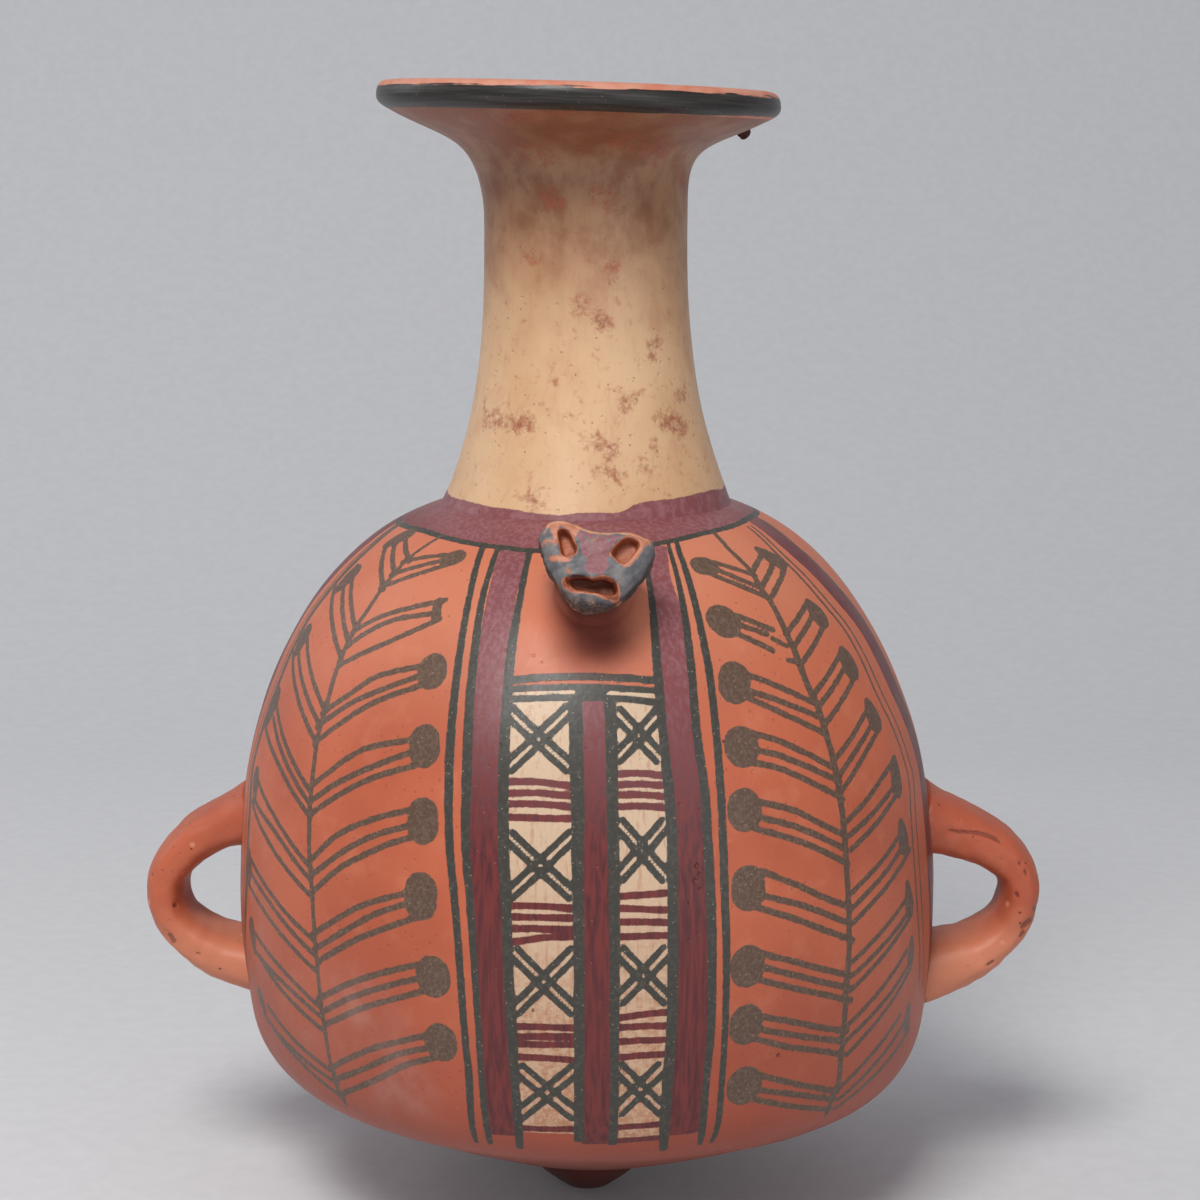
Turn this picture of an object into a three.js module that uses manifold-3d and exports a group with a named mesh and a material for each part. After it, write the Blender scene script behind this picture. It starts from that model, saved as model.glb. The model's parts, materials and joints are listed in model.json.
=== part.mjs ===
// A coil-built jar of burnished clay: a pointed foot, a broad belly, a tall neck with a trumpet
// mouth and a rolled lip, two strap handles, and a lug on the shoulder shaped as a feline's head.
// Millimetres, +Z up. The foot's tip stands on the origin, the lug looks along -Y, and the
// handles lie on the X axis. Every piece was formed by itself and luted to its neighbours.
import * as THREE from "three";
import { mergeVertices } from "three/addons/utils/BufferGeometryUtils.js";
import Module from "manifold-3d";

const wasm = await Module();
wasm.setup();

// Outline of the jar: stations given as a radius, and the height of the stretch below each
const TIP_RADIUS = 6;
const FOOT_RADIUS = 16.6;
const FOOT_HEIGHT = 9.9;
const KNUCKLE_RADIUS = 71;
const BASE_HEIGHT = 23.6;
const BELLY_RADIUS = 90;
const BELLY_HEIGHT = 50.5;
const NECK_BASE_RADIUS = 37;
const SHOULDER_HEIGHT = 99;
const WAIST_RADIUS = 25.6;
const NECK_HEIGHT = 67;
const FLARE_RADIUS = 47.6;
const FLARE_HEIGHT = 31;
const FLARE_ANGLE = 28;
const LIP_OVERHANG = 2.8;
const LIP_DEPTH = 8;
const LIP_ROUND = 2.6;
const WALL = 6;

// Seams between the courses: each upper course overlaps the bevelled edge of the one below.
// They lie this far above the knuckle, the belly and the waist
const BOWL_SEAM_RISE = 12.5;
const BELLY_SEAM_RISE = 40;
const NECK_SEAM_RISE = 12;
const BEVEL_RISE = 3;
const SEAM_GAP = 0.3;
const SEAM_MARGIN = 0.4;
const SPIGOT_RADIUS = 7;
const SPIGOT_LENGTH = 3;
const SPIGOT_COVER = 4;
const FLOOR_ROUND = 3;

// The mouth was set on a little aslant: its right side lies this much lower, its left side higher
const MOUTH_DROP = 1.6;

// Strap handles
const STRAP_WIDTH = 23;
const STRAP_THICKNESS = 8;
const STRAP_EDGE = 3.6;
const ROOT_WIDTH_RATIO = 1.2;
const ROOT_THICKNESS_RATIO = 1.4;
const ROOT_SHARE = 0.24;
const ROOT_ABOVE_BELLY = 16;
const ROOT_BELOW_BELLY = 21.5;
const LEFT_REACH = 25;
const RIGHT_REACH = 28;
const STRAP_TENON_WIDTH = 15;
const STRAP_TENON_THICKNESS = 5;
const STRAP_TENON_REACH = 4;
const STRAP_TENON_EDGE = 1.5;
const TENON_RECESS = 0.6;

// Lug on the shoulder
const LUG_DROP = 15.5;
const LUG_TILT = 30;
const LUG_SIDE = 2;
const STALK_LENGTH = 11;
const STALK_RADIUS = 8.5;
const STALK_FLARE = 13.5;
const STALK_SKIRT = 1;
const STALK_TENON_RADIUS = 6;
const HEAD_WIDTH = 26;
const HEAD_LENGTH = 21.5;
const HEAD_THICKNESS = 9;
const HEAD_TILT = 7;
const HEAD_PEG_RADIUS = 4.5;
const HEAD_PEG_LENGTH = 4;
const HEAD_EDGE = 1.6;
const CHIN_WIDTH = 13;
const EAR_DIP = 1.3;
const SLOT_DEPTH = 3.6;
const EYE_LENGTH = 8;
const EYE_WIDTH = 4;
const LEFT_EYE_TILT = 19;
const RIGHT_EYE_TILT = -38;
const MOUTH_LENGTH = 11.6;
const MOUTH_WIDTH = 4.2;
const MOUTH_SIDE = -1;

// Worn-down ear under the right side of the lip
const EAR_RADIUS = 1.6;
const EAR_LENGTH = 3;
const EAR_INSET = 5.1;
const EAR_TURN = 19;

const CLEARANCE = 0.3;
const ROUND_STEPS = 52;
const LUG_STEPS = 28;
const PEG_STEPS = 16;
const STRAP_STEPS = 22;

const deg = THREE.MathUtils.degToRad;
const point = (radius, height) => new THREE.Vector2(radius, height);

// A smooth stretch of outline between two stations. It leaves and arrives at the given angles,
// measured from the horizontal, and each pull is a share of the distance between the stations.
function sweep(from, leave, leavePull, to, arrive, arrivePull, steps) {
  const span = from.distanceTo(to);
  const step = (angle, pull) =>
    point(Math.cos(deg(angle)), Math.sin(deg(angle))).multiplyScalar(span * pull);
  const first = from.clone().add(step(leave, leavePull));
  const second = to.clone().sub(step(arrive, arrivePull));
  return new THREE.CubicBezierCurve(from, first, second, to).getPoints(steps);
}

const tip = point(TIP_RADIUS, 0);
const footTop = point(FOOT_RADIUS, tip.y + FOOT_HEIGHT);
const knuckle = point(KNUCKLE_RADIUS, footTop.y + BASE_HEIGHT);
const belly = point(BELLY_RADIUS, knuckle.y + BELLY_HEIGHT);
const neckBase = point(NECK_BASE_RADIUS, belly.y + SHOULDER_HEIGHT);
const waist = point(WAIST_RADIUS, neckBase.y + NECK_HEIGHT);
const flareTop = point(FLARE_RADIUS, waist.y + FLARE_HEIGHT);
const bowlSeam = knuckle.y + BOWL_SEAM_RISE;
const bellySeam = belly.y + BELLY_SEAM_RISE;
const neckSeam = waist.y + NECK_SEAM_RISE;
const upperRoot = belly.y + ROOT_ABOVE_BELLY;
const lowerRoot = belly.y - ROOT_BELOW_BELLY;
const lipRadius = FLARE_RADIUS + LIP_OVERHANG;

const footOutline = sweep(tip, 35, 0.3, footTop, 60, 0.3, 4);
const outerOutline = [
  ...sweep(footTop, 19, 0.33, knuckle, 27, 0.33, 4),
  ...sweep(knuckle, 27, 0.15, belly, 90, 0.9, 7).slice(1),
  ...sweep(belly, 90, 0.37, neckBase, 163, 0.33, 9).slice(1),
  ...sweep(neckBase, 110, 0.3, waist, 90, 0.54, 6).slice(1),
  ...sweep(waist, 90, 0.7, flareTop, FLARE_ANGLE, 0.5, 8).slice(1),
];

// The outline moved inwards by a distance, square to itself
function inset(outline, distance) {
  return outline.map((p, i) => {
    const before = outline[Math.max(i - 1, 0)];
    const after = outline[Math.min(i + 1, outline.length - 1)];
    const along = after.clone().sub(before).normalize();
    return point(p.x - along.y * distance, p.y + along.x * distance);
  });
}
const innerOutline = inset(outerOutline, WALL);

function radiusAt(outline, height) {
  const i = outline.findIndex((p) => p.y >= height);
  if (i < 1) return outline[i < 0 ? outline.length - 1 : 0].x;
  const [a, b] = [outline[i - 1], outline[i]];
  return THREE.MathUtils.mapLinear(height, a.y, b.y, a.x, b.x);
}

// The height at which the flare of the mouth reaches a radius
function flareHeight(radius) {
  const i = outerOutline.findLastIndex((p) => p.x <= radius);
  const [a, b] = [outerOutline[i], outerOutline[i + 1]];
  return THREE.MathUtils.mapLinear(radius, a.x, b.x, a.y, b.y);
}

// The stretch of an outline between two heights, with a point on each
function stretch(outline, low, high) {
  const between = outline.filter((p) => p.y > low + SEAM_MARGIN && p.y < high - SEAM_MARGIN);
  return [point(radiusAt(outline, low), low), ...between, point(radiusAt(outline, high), high)];
}

// Shapes as solids
function solidOf(geometry) {
  const bare = geometry.clone();
  for (const name of ["normal", "uv"]) bare.deleteAttribute(name);
  const merged = mergeVertices(bare, 1e-4);
  const vertProperties = new Float32Array(merged.attributes.position.array);
  const triVerts = new Uint32Array(merged.index.array);
  return new wasm.Manifold(new wasm.Mesh({ numProp: 3, vertProperties, triVerts }));
}

// A closed outline of radius and height, turned about the Z axis
function turned(outline, steps = ROUND_STEPS) {
  return new THREE.LatheGeometry(outline, steps).rotateX(Math.PI / 2);
}

const closed = (outline) => [...outline, outline[0].clone()];

// A skin over rings of as many points each, capped at both ends
function loft(rings) {
  const sides = rings[0].length;
  const middle = (ring) =>
    ring.reduce((sum, p) => sum.add(p), new THREE.Vector3()).divideScalar(sides);
  const vertices = [...rings.flat(), middle(rings[0]), middle(rings.at(-1))];
  const [startCap, endCap] = [vertices.length - 2, vertices.length - 1];
  const faces = [];
  for (let side = 0; side < sides; side++) {
    const next = (side + 1) % sides;
    for (let ring = 0; ring < rings.length - 1; ring++) {
      const [a, b] = [ring * sides + side, ring * sides + next];
      faces.push(a, b, b + sides, a, b + sides, a + sides);
    }
    const last = (rings.length - 1) * sides;
    faces.push(startCap, next, side, endCap, last + side, last + next);
  }
  const geometry = new THREE.BufferGeometry().setFromPoints(vertices);
  geometry.setIndex(faces);
  return geometry;
}

function rounded(width, height, corner, cornerSteps) {
  const [w, h] = [width / 2, height / 2];
  const r = Math.min(corner, w * 0.95, h * 0.95);
  const corners = [[w - r, h - r, 0], [r - w, h - r, 90], [r - w, r - h, 180], [w - r, r - h, 270]];
  return corners.flatMap(([x, y, start]) =>
    Array.from({ length: cornerSteps + 1 }, (_, i) => {
      const angle = deg(start + (90 * i) / cornerSteps);
      return point(x + r * Math.cos(angle), y + r * Math.sin(angle));
    }),
  );
}

// The slant of the mouth grows from nothing at the neck's base to its full drop at the lip
function slant(geometry) {
  const at = geometry.attributes.position;
  for (let i = 0; i < at.count; i++) {
    const share = THREE.MathUtils.smoothstep(at.getZ(i), neckBase.y, flareTop.y);
    at.setZ(i, at.getZ(i) - (share * MOUTH_DROP * at.getX(i)) / lipRadius);
  }
  return geometry;
}

// Courses of the wall
const spigotTop = footTop.y + SPIGOT_LENGTH;
const floorHeight = spigotTop + SPIGOT_COVER;

function foot() {
  return turned([
    point(0, 0),
    ...footOutline,
    point(SPIGOT_RADIUS, footTop.y),
    point(SPIGOT_RADIUS, spigotTop),
    point(0, spigotTop),
  ]);
}

function baseBowl() {
  const seat = footTop.y + SEAM_GAP;
  const socketRadius = SPIGOT_RADIUS + CLEARANCE;
  const socketTop = spigotTop + CLEARANCE;
  const inside = stretch(innerOutline, floorHeight + FLOOR_ROUND, bowlSeam + BEVEL_RISE);
  return turned([
    point(0, socketTop),
    point(socketRadius, socketTop),
    point(socketRadius, seat),
    ...stretch(outerOutline, seat, bowlSeam),
    ...inside.reverse(),
    point(socketRadius, floorHeight),
    point(0, floorHeight),
  ]);
}

// A ring of wall from one seam to the next. Its edges rise inwards, so each ring sits on the
// bevel of the one below
function course(low, high) {
  const outside = stretch(outerOutline, low + SEAM_GAP, high);
  const inside = stretch(innerOutline, low + BEVEL_RISE + SEAM_GAP, high + BEVEL_RISE);
  return solidOf(turned(closed([...outside, ...inside.reverse()])));
}

// The flare ends square to its own slope, and the lip is a coil rolled over that edge
const flareEnd = outerOutline.at(-1);
const flareEndInside = innerOutline.at(-1);

function mouthFlare() {
  const outside = stretch(outerOutline, neckSeam + SEAM_GAP, flareEnd.y);
  const inside = stretch(innerOutline, neckSeam + BEVEL_RISE + SEAM_GAP, flareEndInside.y);
  return solidOf(turned(closed([...outside, ...inside.reverse()])));
}

function lipCoil() {
  const widest = point(lipRadius, flareTop.y + LIP_DEPTH * 0.45);
  const top = point(lipRadius - LIP_ROUND, flareTop.y + LIP_DEPTH);
  const off = point(Math.cos(deg(FLARE_ANGLE)), Math.sin(deg(FLARE_ANGLE))).multiplyScalar(SEAM_GAP);
  const [outerFoot, innerFoot] = [flareEnd, flareEndInside].map((p) => p.clone().add(off));
  return solidOf(
    turned(
      closed([
        ...sweep(outerFoot, FLARE_ANGLE, 0.3, widest, 90, 0.4, 3),
        ...sweep(widest, 90, 0.5, top, 178, 0.4, 4).slice(1),
        ...sweep(top, 184, 0.3, innerFoot, 235, 0.3, 3).slice(1),
      ]),
    ),
  );
}

// Everything inside the jar's outer face, grown by the clearance, to fit what is luted on to it
const grownSkin = inset(outerOutline, -CLEARANCE);
const jarInside = solidOf(
  turned([point(0, grownSkin[0].y), ...grownSkin, point(0, grownSkin.at(-1).y)]),
);

// A strap handle, side 1 on the right and -1 on the left: a flat loop in the XZ plane whose ends
// thicken where they are smeared on to the wall
function strapLoop(side, reach) {
  const rise = upperRoot - lowerRoot;
  const sunk = WALL / 2;
  const far = BELLY_RADIUS + reach - STRAP_THICKNESS / 2;
  const out = (share) => BELLY_RADIUS + (far - BELLY_RADIUS) * share;
  const up = (share) => lowerRoot + rise * share;
  const route = new THREE.CatmullRomCurve3(
    [
      [radiusAt(outerOutline, upperRoot) - sunk, up(1.02)],
      [out(0.28), up(0.96)],
      [out(0.68), up(0.83)],
      [out(0.94), up(0.66)],
      [out(1), up(0.48)],
      [out(0.89), up(0.28)],
      [out(0.62), up(0.13)],
      [out(0.26), up(0.04)],
      [radiusAt(outerOutline, lowerRoot) - sunk, up(-0.01)],
    ].map(([x, z]) => new THREE.Vector3(side * x, 0, z)),
  );
  const across = new THREE.Vector3(0, 1, 0);
  return Array.from({ length: STRAP_STEPS + 1 }, (_, i) => {
    const share = i / STRAP_STEPS;
    const at = route.getPointAt(share);
    const outward = route.getTangentAt(share).cross(across).normalize();
    const nearRoot = Math.max(0, 1 - Math.min(share, 1 - share) / ROOT_SHARE) ** 2;
    const wider = 1 + (ROOT_WIDTH_RATIO - 1) * nearRoot;
    const thicker = 1 + (ROOT_THICKNESS_RATIO - 1) * nearRoot;
    return rounded(STRAP_WIDTH, STRAP_THICKNESS, STRAP_EDGE, 3).map((p) =>
      at.clone().addScaledVector(across, p.x * wider).addScaledVector(outward, p.y * thicker),
    );
  });
}

// A flat tenon from inside the wall to beyond its outer face, grown all round to cut its socket
function strapTenon(side, height, grow, inner, outer) {
  const [width, thickness] = [STRAP_TENON_WIDTH + 2 * grow, STRAP_TENON_THICKNESS + 2 * grow];
  const outline = rounded(width, thickness, STRAP_TENON_EDGE, 1);
  const ring = (x) => outline.map((p) => new THREE.Vector3(side * x, side * p.x, height + p.y));
  return solidOf(loft([ring(inner), ring(outer)]));
}

function strapHandle(side, reach) {
  let handle = solidOf(loft(strapLoop(side, reach))).subtract(jarInside);
  for (const height of [upperRoot, lowerRoot]) {
    const inner = radiusAt(innerOutline, height) + TENON_RECESS;
    const outer = radiusAt(outerOutline, height) + STRAP_TENON_REACH;
    handle = handle.add(strapTenon(side, height, 0, inner, outer));
  }
  return handle;
}

function bellyWall() {
  let wall = course(bowlSeam, bellySeam);
  for (const side of [-1, 1])
    for (const height of [upperRoot, lowerRoot]) {
      const inner = radiusAt(innerOutline, height) - WALL;
      const outer = radiusAt(outerOutline, height) + WALL;
      wall = wall.subtract(strapTenon(side, height, CLEARANCE, inner, outer));
    }
  return wall;
}

// The lug's own frame: its Z axis leaves the shoulder, its Y axis points up the feline's face
const lugHeight = neckBase.y - LUG_DROP;
const lugFrame = new THREE.Matrix4()
  .makeRotationX(deg(90 - LUG_TILT))
  .setPosition(LUG_SIDE, -radiusAt(outerOutline, lugHeight), lugHeight);
const onLug = (geometry) => solidOf(geometry.applyMatrix4(lugFrame));
const peg = (radius, from, to) =>
  turned([point(0, from), point(radius, from), point(radius, to), point(0, to)], PEG_STEPS);

function lugStalk() {
  const neckOfStalk = point(STALK_RADIUS, STALK_LENGTH * 0.6);
  const flare = sweep(point(STALK_FLARE, -STALK_SKIRT), 150, 0.45, neckOfStalk, 90, 0.45, 4);
  const outline = [
    point(0, -WALL),
    point(STALK_FLARE + STALK_SKIRT, -WALL),
    ...flare,
    point(STALK_RADIUS, STALK_LENGTH),
    point(0, STALK_LENGTH),
  ];
  const tenon = peg(STALK_TENON_RADIUS, TENON_RECESS - WALL, WALL / 2);
  const pegFoot = STALK_LENGTH - HEAD_PEG_LENGTH / 2;
  const headPeg = peg(HEAD_PEG_RADIUS, pegFoot, STALK_LENGTH + HEAD_PEG_LENGTH);
  return onLug(turned(outline, LUG_STEPS)).subtract(jarInside).add(onLug(tenon)).add(onLug(headPeg));
}

function shoulderDome() {
  const socket = peg(STALK_TENON_RADIUS + CLEARANCE, -2 * WALL, 2 * WALL);
  return course(bellySeam, neckBase.y).subtract(onLug(socket));
}

// The feline's face: two ear corners with a dip between them, cheeks that narrow to a blunt chin
function faceOutline() {
  const face = new THREE.Shape();
  const [side, ear, chin] = [HEAD_WIDTH / 2, HEAD_LENGTH * 0.45, -HEAD_LENGTH * 0.55];
  const brow = ear - EAR_DIP;
  face.moveTo(0, brow);
  face.quadraticCurveTo(-side * 0.5, ear, -side * 0.85, ear);
  face.quadraticCurveTo(-side * 1.03, ear, -side, ear * 0.55);
  face.quadraticCurveTo(-side * 0.92, 0, -CHIN_WIDTH / 2, chin * 0.72);
  face.quadraticCurveTo(-CHIN_WIDTH * 0.36, chin, 0, chin);
  face.quadraticCurveTo(CHIN_WIDTH * 0.36, chin, CHIN_WIDTH / 2, chin * 0.72);
  face.quadraticCurveTo(side * 0.92, 0, side, ear * 0.55);
  face.quadraticCurveTo(side * 1.03, ear, side * 0.85, ear);
  face.quadraticCurveTo(side * 0.5, ear, 0, brow);
  return face;
}

// A slot pressed into the face with the end of a flat stick
function slot(length, width, side, up, lean) {
  const outline = new THREE.Shape(rounded(width, length, width / 2, 3));
  return new THREE.ExtrudeGeometry(outline, { depth: SLOT_DEPTH * 2, bevelEnabled: false })
    .rotateZ(deg(lean))
    .translate(side, up, -SLOT_DEPTH);
}

function lugHead() {
  const back = STALK_LENGTH + CLEARANCE;
  const front = back + HEAD_THICKNESS;
  const slab = new THREE.ExtrudeGeometry(faceOutline(), {
    depth: HEAD_THICKNESS - 2 * HEAD_EDGE,
    bevelThickness: HEAD_EDGE,
    bevelSize: HEAD_EDGE,
    bevelOffset: -HEAD_EDGE,
    bevelSegments: 2,
    curveSegments: 4,
  }).translate(0, 0, back + HEAD_EDGE);
  const tilted = (geometry) => onLug(geometry.rotateZ(-deg(HEAD_TILT)));
  let head = tilted(slab);
  const mouth = slot(MOUTH_LENGTH, MOUTH_WIDTH, MOUTH_SIDE, -HEAD_LENGTH * 0.21, 90);
  const leftEye = slot(EYE_LENGTH, EYE_WIDTH, -HEAD_WIDTH * 0.28, HEAD_LENGTH * 0.24, LEFT_EYE_TILT);
  const rightEye = slot(EYE_LENGTH, EYE_WIDTH, HEAD_WIDTH * 0.24, HEAD_LENGTH * 0.22, RIGHT_EYE_TILT);
  for (const cut of [mouth, leftEye, rightEye])
    head = head.subtract(tilted(cut.translate(0, 0, front)));
  const socket = peg(HEAD_PEG_RADIUS + CLEARANCE, STALK_LENGTH, back + HEAD_PEG_LENGTH);
  return head.subtract(onLug(socket));
}

// The ear hung under the lip and was worn down to a nub. The flare slopes less than 45 degrees
// there, so a nub that starts its own radius above the seat meets the flare all round
function lipEar() {
  const seatRadius = FLARE_RADIUS - EAR_INSET;
  const seat = flareHeight(seatRadius);
  const nub = turned(
    [
      point(0, seat - EAR_LENGTH),
      point(EAR_RADIUS * 0.6, seat - EAR_LENGTH),
      point(EAR_RADIUS, seat - EAR_LENGTH * 0.7),
      point(EAR_RADIUS, seat + EAR_RADIUS),
      point(0, seat + EAR_RADIUS),
    ],
    PEG_STEPS,
  ).translate(seatRadius, 0, 0);
  return solidOf(nub.rotateZ(deg(EAR_TURN))).subtract(jarInside);
}

function meshOf(name, solid, material, shape = (geometry) => geometry) {
  const { numProp, vertProperties, triVerts } = solid.getMesh();
  const positions = new THREE.BufferAttribute(new Float32Array(vertProperties), numProp);
  const geometry = new THREE.BufferGeometry().setAttribute("position", positions);
  geometry.setIndex(new THREE.BufferAttribute(new Uint32Array(triVerts), 1));
  shape(geometry).computeVertexNormals();
  const mesh = new THREE.Mesh(geometry, material);
  mesh.name = name;
  return mesh;
}

const clay = (color, roughness) => new THREE.MeshStandardMaterial({ color, roughness, metalness: 0 });
const burnishedClay = clay(0xbf6a48, 0.45);
const rawClay = clay(0xc97a52, 0.7);
const creamSlip = clay(0xdcbf96, 0.5);
const blackSlip = clay(0x46443f, 0.45);
const wornClay = clay(0x5a3a28, 0.8);

const jar = new THREE.Group();
jar.add(
  meshOf("foot_tip", solidOf(foot()), burnishedClay),
  meshOf("base_bowl", solidOf(baseBowl()), burnishedClay),
  meshOf("belly_wall", bellyWall(), burnishedClay),
  meshOf("shoulder_dome", shoulderDome(), burnishedClay),
  meshOf("neck", course(neckBase.y, neckSeam), creamSlip, slant),
  meshOf("mouth_flare", mouthFlare(), creamSlip, slant),
  meshOf("lip_coil", lipCoil(), blackSlip, slant),
  meshOf("lip_ear", lipEar(), wornClay, slant),
  meshOf("handle_left", strapHandle(-1, LEFT_REACH), rawClay),
  meshOf("handle_right", strapHandle(1, RIGHT_REACH), rawClay),
  meshOf("lug_stalk", lugStalk(), rawClay),
  meshOf("lug_head", lugHead(), blackSlip),
);

export default jar;
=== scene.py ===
# A coil-built clay jar with a painted front, two strap handles and a feline's head on its shoulder.
# Lengths are written in millimetres and made metres as the meshes are finished.
import json
import math

import bmesh
import bpy
import numpy as np
from bmesh.types import BMEdge, BMVert
from mathutils import Matrix, Vector

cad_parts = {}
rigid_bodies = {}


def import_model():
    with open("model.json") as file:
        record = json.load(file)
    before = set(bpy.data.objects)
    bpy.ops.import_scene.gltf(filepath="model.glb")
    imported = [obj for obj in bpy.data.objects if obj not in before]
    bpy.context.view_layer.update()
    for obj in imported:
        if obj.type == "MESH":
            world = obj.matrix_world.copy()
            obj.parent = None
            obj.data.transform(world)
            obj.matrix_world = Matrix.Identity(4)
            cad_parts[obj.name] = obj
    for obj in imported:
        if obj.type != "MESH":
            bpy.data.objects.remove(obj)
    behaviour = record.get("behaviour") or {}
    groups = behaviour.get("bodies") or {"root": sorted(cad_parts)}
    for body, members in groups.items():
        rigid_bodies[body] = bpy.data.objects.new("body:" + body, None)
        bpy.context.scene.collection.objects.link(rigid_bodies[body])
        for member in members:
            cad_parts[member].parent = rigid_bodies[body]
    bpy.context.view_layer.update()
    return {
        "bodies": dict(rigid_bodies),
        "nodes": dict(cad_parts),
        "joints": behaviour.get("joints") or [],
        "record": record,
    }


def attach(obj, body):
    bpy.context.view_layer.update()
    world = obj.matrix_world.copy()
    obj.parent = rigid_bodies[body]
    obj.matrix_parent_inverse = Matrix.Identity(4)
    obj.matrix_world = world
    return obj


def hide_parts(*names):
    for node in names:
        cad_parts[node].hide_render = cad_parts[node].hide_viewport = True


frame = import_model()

MM = 0.001

# Outline of the jar, as radius and height
TIP = (6, 0)
FOOT_TOP = (16.6, 9.9)
KNUCKLE = (71, 33.5)
BELLY = (90, 84)
NECK_BASE = (37, 183)
WAIST = (25.6, 250)
FLARE_TOP = (47.6, 281)
FLARE_ANGLE = 28
FLARE_STEPS = 200
LIP_RADIUS = 50.4
LIP_DEPTH = 6.8
LIP_ROUND = 2.6
WALL = 6
BOWL_SEAM = 46
BELLY_SEAM = 124
NECK_SEAM = 262
SEAM_RISE = 2
SPIGOT_RADIUS = 7
SPIGOT_LENGTH = 3
SEAM_GAP = 0.3
SOCKET_TOP = 13.2
BOWL_FLOOR = 16.9
BOWL_INSIDE_LOW = 20

# What the potter's hand left uneven: the mouth stands aslant and off the middle, the left
# shoulder swells and the belly hangs lower on the right
MOUTH_DROP = 1.6
MOUTH_ASIDE = -2.1
MOUTH_SINK = 0.6
SHOULDER_SWELL = 1.25
BELLY_LEAN = 0.023
KNUCKLE_SWELL = 1.1

# Strap handles
STRAP_WIDTH = 23
STRAP_THICKNESS = 10
STRAP_SQUARENESS = 0.74
STRAP_FRONT = -11
UPPER_ROOT = 100
LOWER_ROOT = 62.5
LEFT_REACH = 24.9
RIGHT_REACH = 27.9
LEFT_DROP = 0.4
RIGHT_DROP = 2.6

# The strap's route from its upper root to its lower: how far out, how far up, and how much of
# the strap's drop it gives way to
STRAP_ROUTE = ((0.3, 0.955, 0.013), (0.67, 0.835, 0.01), (0.93, 0.665, 0), (1, 0.48, 0),
               (0.89, 0.29, 0), (0.61, 0.15, 0), (0.28, 0.06, 0))

# Lug
LUG_HEIGHT = 167.5
LUG_TILT = 30
LUG_SIDE = 2
STALK_LENGTH = 11
STALK_RADIUS = 9.4
STALK_SPREAD = 20
HEAD_THICKNESS = 9
HEAD_TILT = 7
HEAD_BACK = 11.3
SLOT_RIM = 0.6
EYE_DEPTH = 3.4
EYE_LEAN = 0.3
MOUTH_DEPTH = 5
MOUTH_LEAN = 1.4
SKIN_CELL = 0.32

# The worn nub under the lip, and the degrees from the jar's right at which it sits
NUB_SEAT_RADIUS = 44.5
NUB_RADIUS = 1.7
NUB_TURN = 19
NUB_SINK = 0.9

# The photograph: a square of this many pixels, seen from this place by a level-rolled camera
PHOTO_SIDE = 1200
CAMERA_AT = np.array([3.3, -661, 268])
CAMERA_PITCH = 9.5
FOCAL_PIXELS = 2600
SENSOR = 36

# The part of the jar in front, in degrees, that is meshed finely for its paint
FRONT_SPAN = 200

# Paint: how far from a stroke its distance is kept, the same for the pale bloom and the painted
# shadow under the chin, how far off the wall's face paint still holds, and the spacing of a
# stroke's points
REACH = 3
BLOOM_REACH = 12
CHIN_SHADOW_REACH = 8
PAINT_DEPTH = 2.5
STROKE_SPACING = 1.5


def sweep(start, leave, leave_pull, end, arrive, arrive_pull, steps):
    """A smooth stretch of outline that leaves and arrives at angles from the horizontal."""
    start, end = np.array(start, float), np.array(end, float)
    span = np.linalg.norm(end - start)
    leave, arrive = math.radians(leave), math.radians(arrive)
    first = start + span * leave_pull * np.array([math.cos(leave), math.sin(leave)])
    second = end - span * arrive_pull * np.array([math.cos(arrive), math.sin(arrive)])
    t = np.linspace(0, 1, steps + 1)[:, None]
    ends = (1 - t) ** 3 * start + t**3 * end
    return ends + 3 * t * (1 - t) ** 2 * first + 3 * t * t * (1 - t) * second


def joined(*stretches):
    return np.vstack([stretches[0]] + [stretch[1:] for stretch in stretches[1:]])


def run_along(line):
    return np.concatenate([[0], np.cumsum(np.linalg.norm(np.diff(line, axis=0), axis=1))])


def spaced(line, gap):
    """The same line with points an even distance apart."""
    run = run_along(line)
    stops = np.linspace(0, run[-1], max(2, round(run[-1] / gap) + 1))
    return np.column_stack([np.interp(stops, run, column) for column in line.T])


def smooth_line(points, gap, closed=False):
    """A curve through every point, with points an even distance apart."""
    points = np.array(points, float)
    if len(points) < 3:
        return spaced(points, gap)
    before, after = 2 * points[:1] - points[1:2], 2 * points[-1:] - points[-2:-1]
    if closed:
        before, after = points[-1:], points[:2]
    padded = np.vstack([before, points, after])
    t = np.linspace(0, 1, 24, endpoint=False)[:, None]
    parts = []
    for a, b, c, d in zip(padded, padded[1:], padded[2:], padded[3:]):
        bend = 2 * a - 5 * b + 4 * c - d
        parts.append(0.5 * (2 * b + (c - a) * t + bend * t**2 + (3 * b - a - 3 * c + d) * t**3))
    if closed:
        return spaced(np.vstack(parts + [points[:1]]), gap)[:-1]
    return spaced(np.vstack(parts + [points[-1:]]), gap)


foot_outline = sweep(TIP, 35, 0.3, FOOT_TOP, 60, 0.3, 60)
jar_outline = joined(
    sweep(FOOT_TOP, 19, 0.33, KNUCKLE, 27, 0.33, 200),
    sweep(KNUCKLE, 27, 0.15, BELLY, 90, 0.9, 300),
    sweep(BELLY, 90, 0.37, NECK_BASE, 163, 0.33, 400),
    sweep(NECK_BASE, 110, 0.3, WAIST, 90, 0.54, 200),
    sweep(WAIST, 90, 0.7, FLARE_TOP, FLARE_ANGLE, 0.5, FLARE_STEPS),
)
jar_run = run_along(jar_outline)


def radius_at(height):
    return np.interp(height, jar_outline[:, 1], jar_outline[:, 0])


def run_at(height):
    return np.interp(height, jar_outline[:, 1], jar_run)


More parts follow.
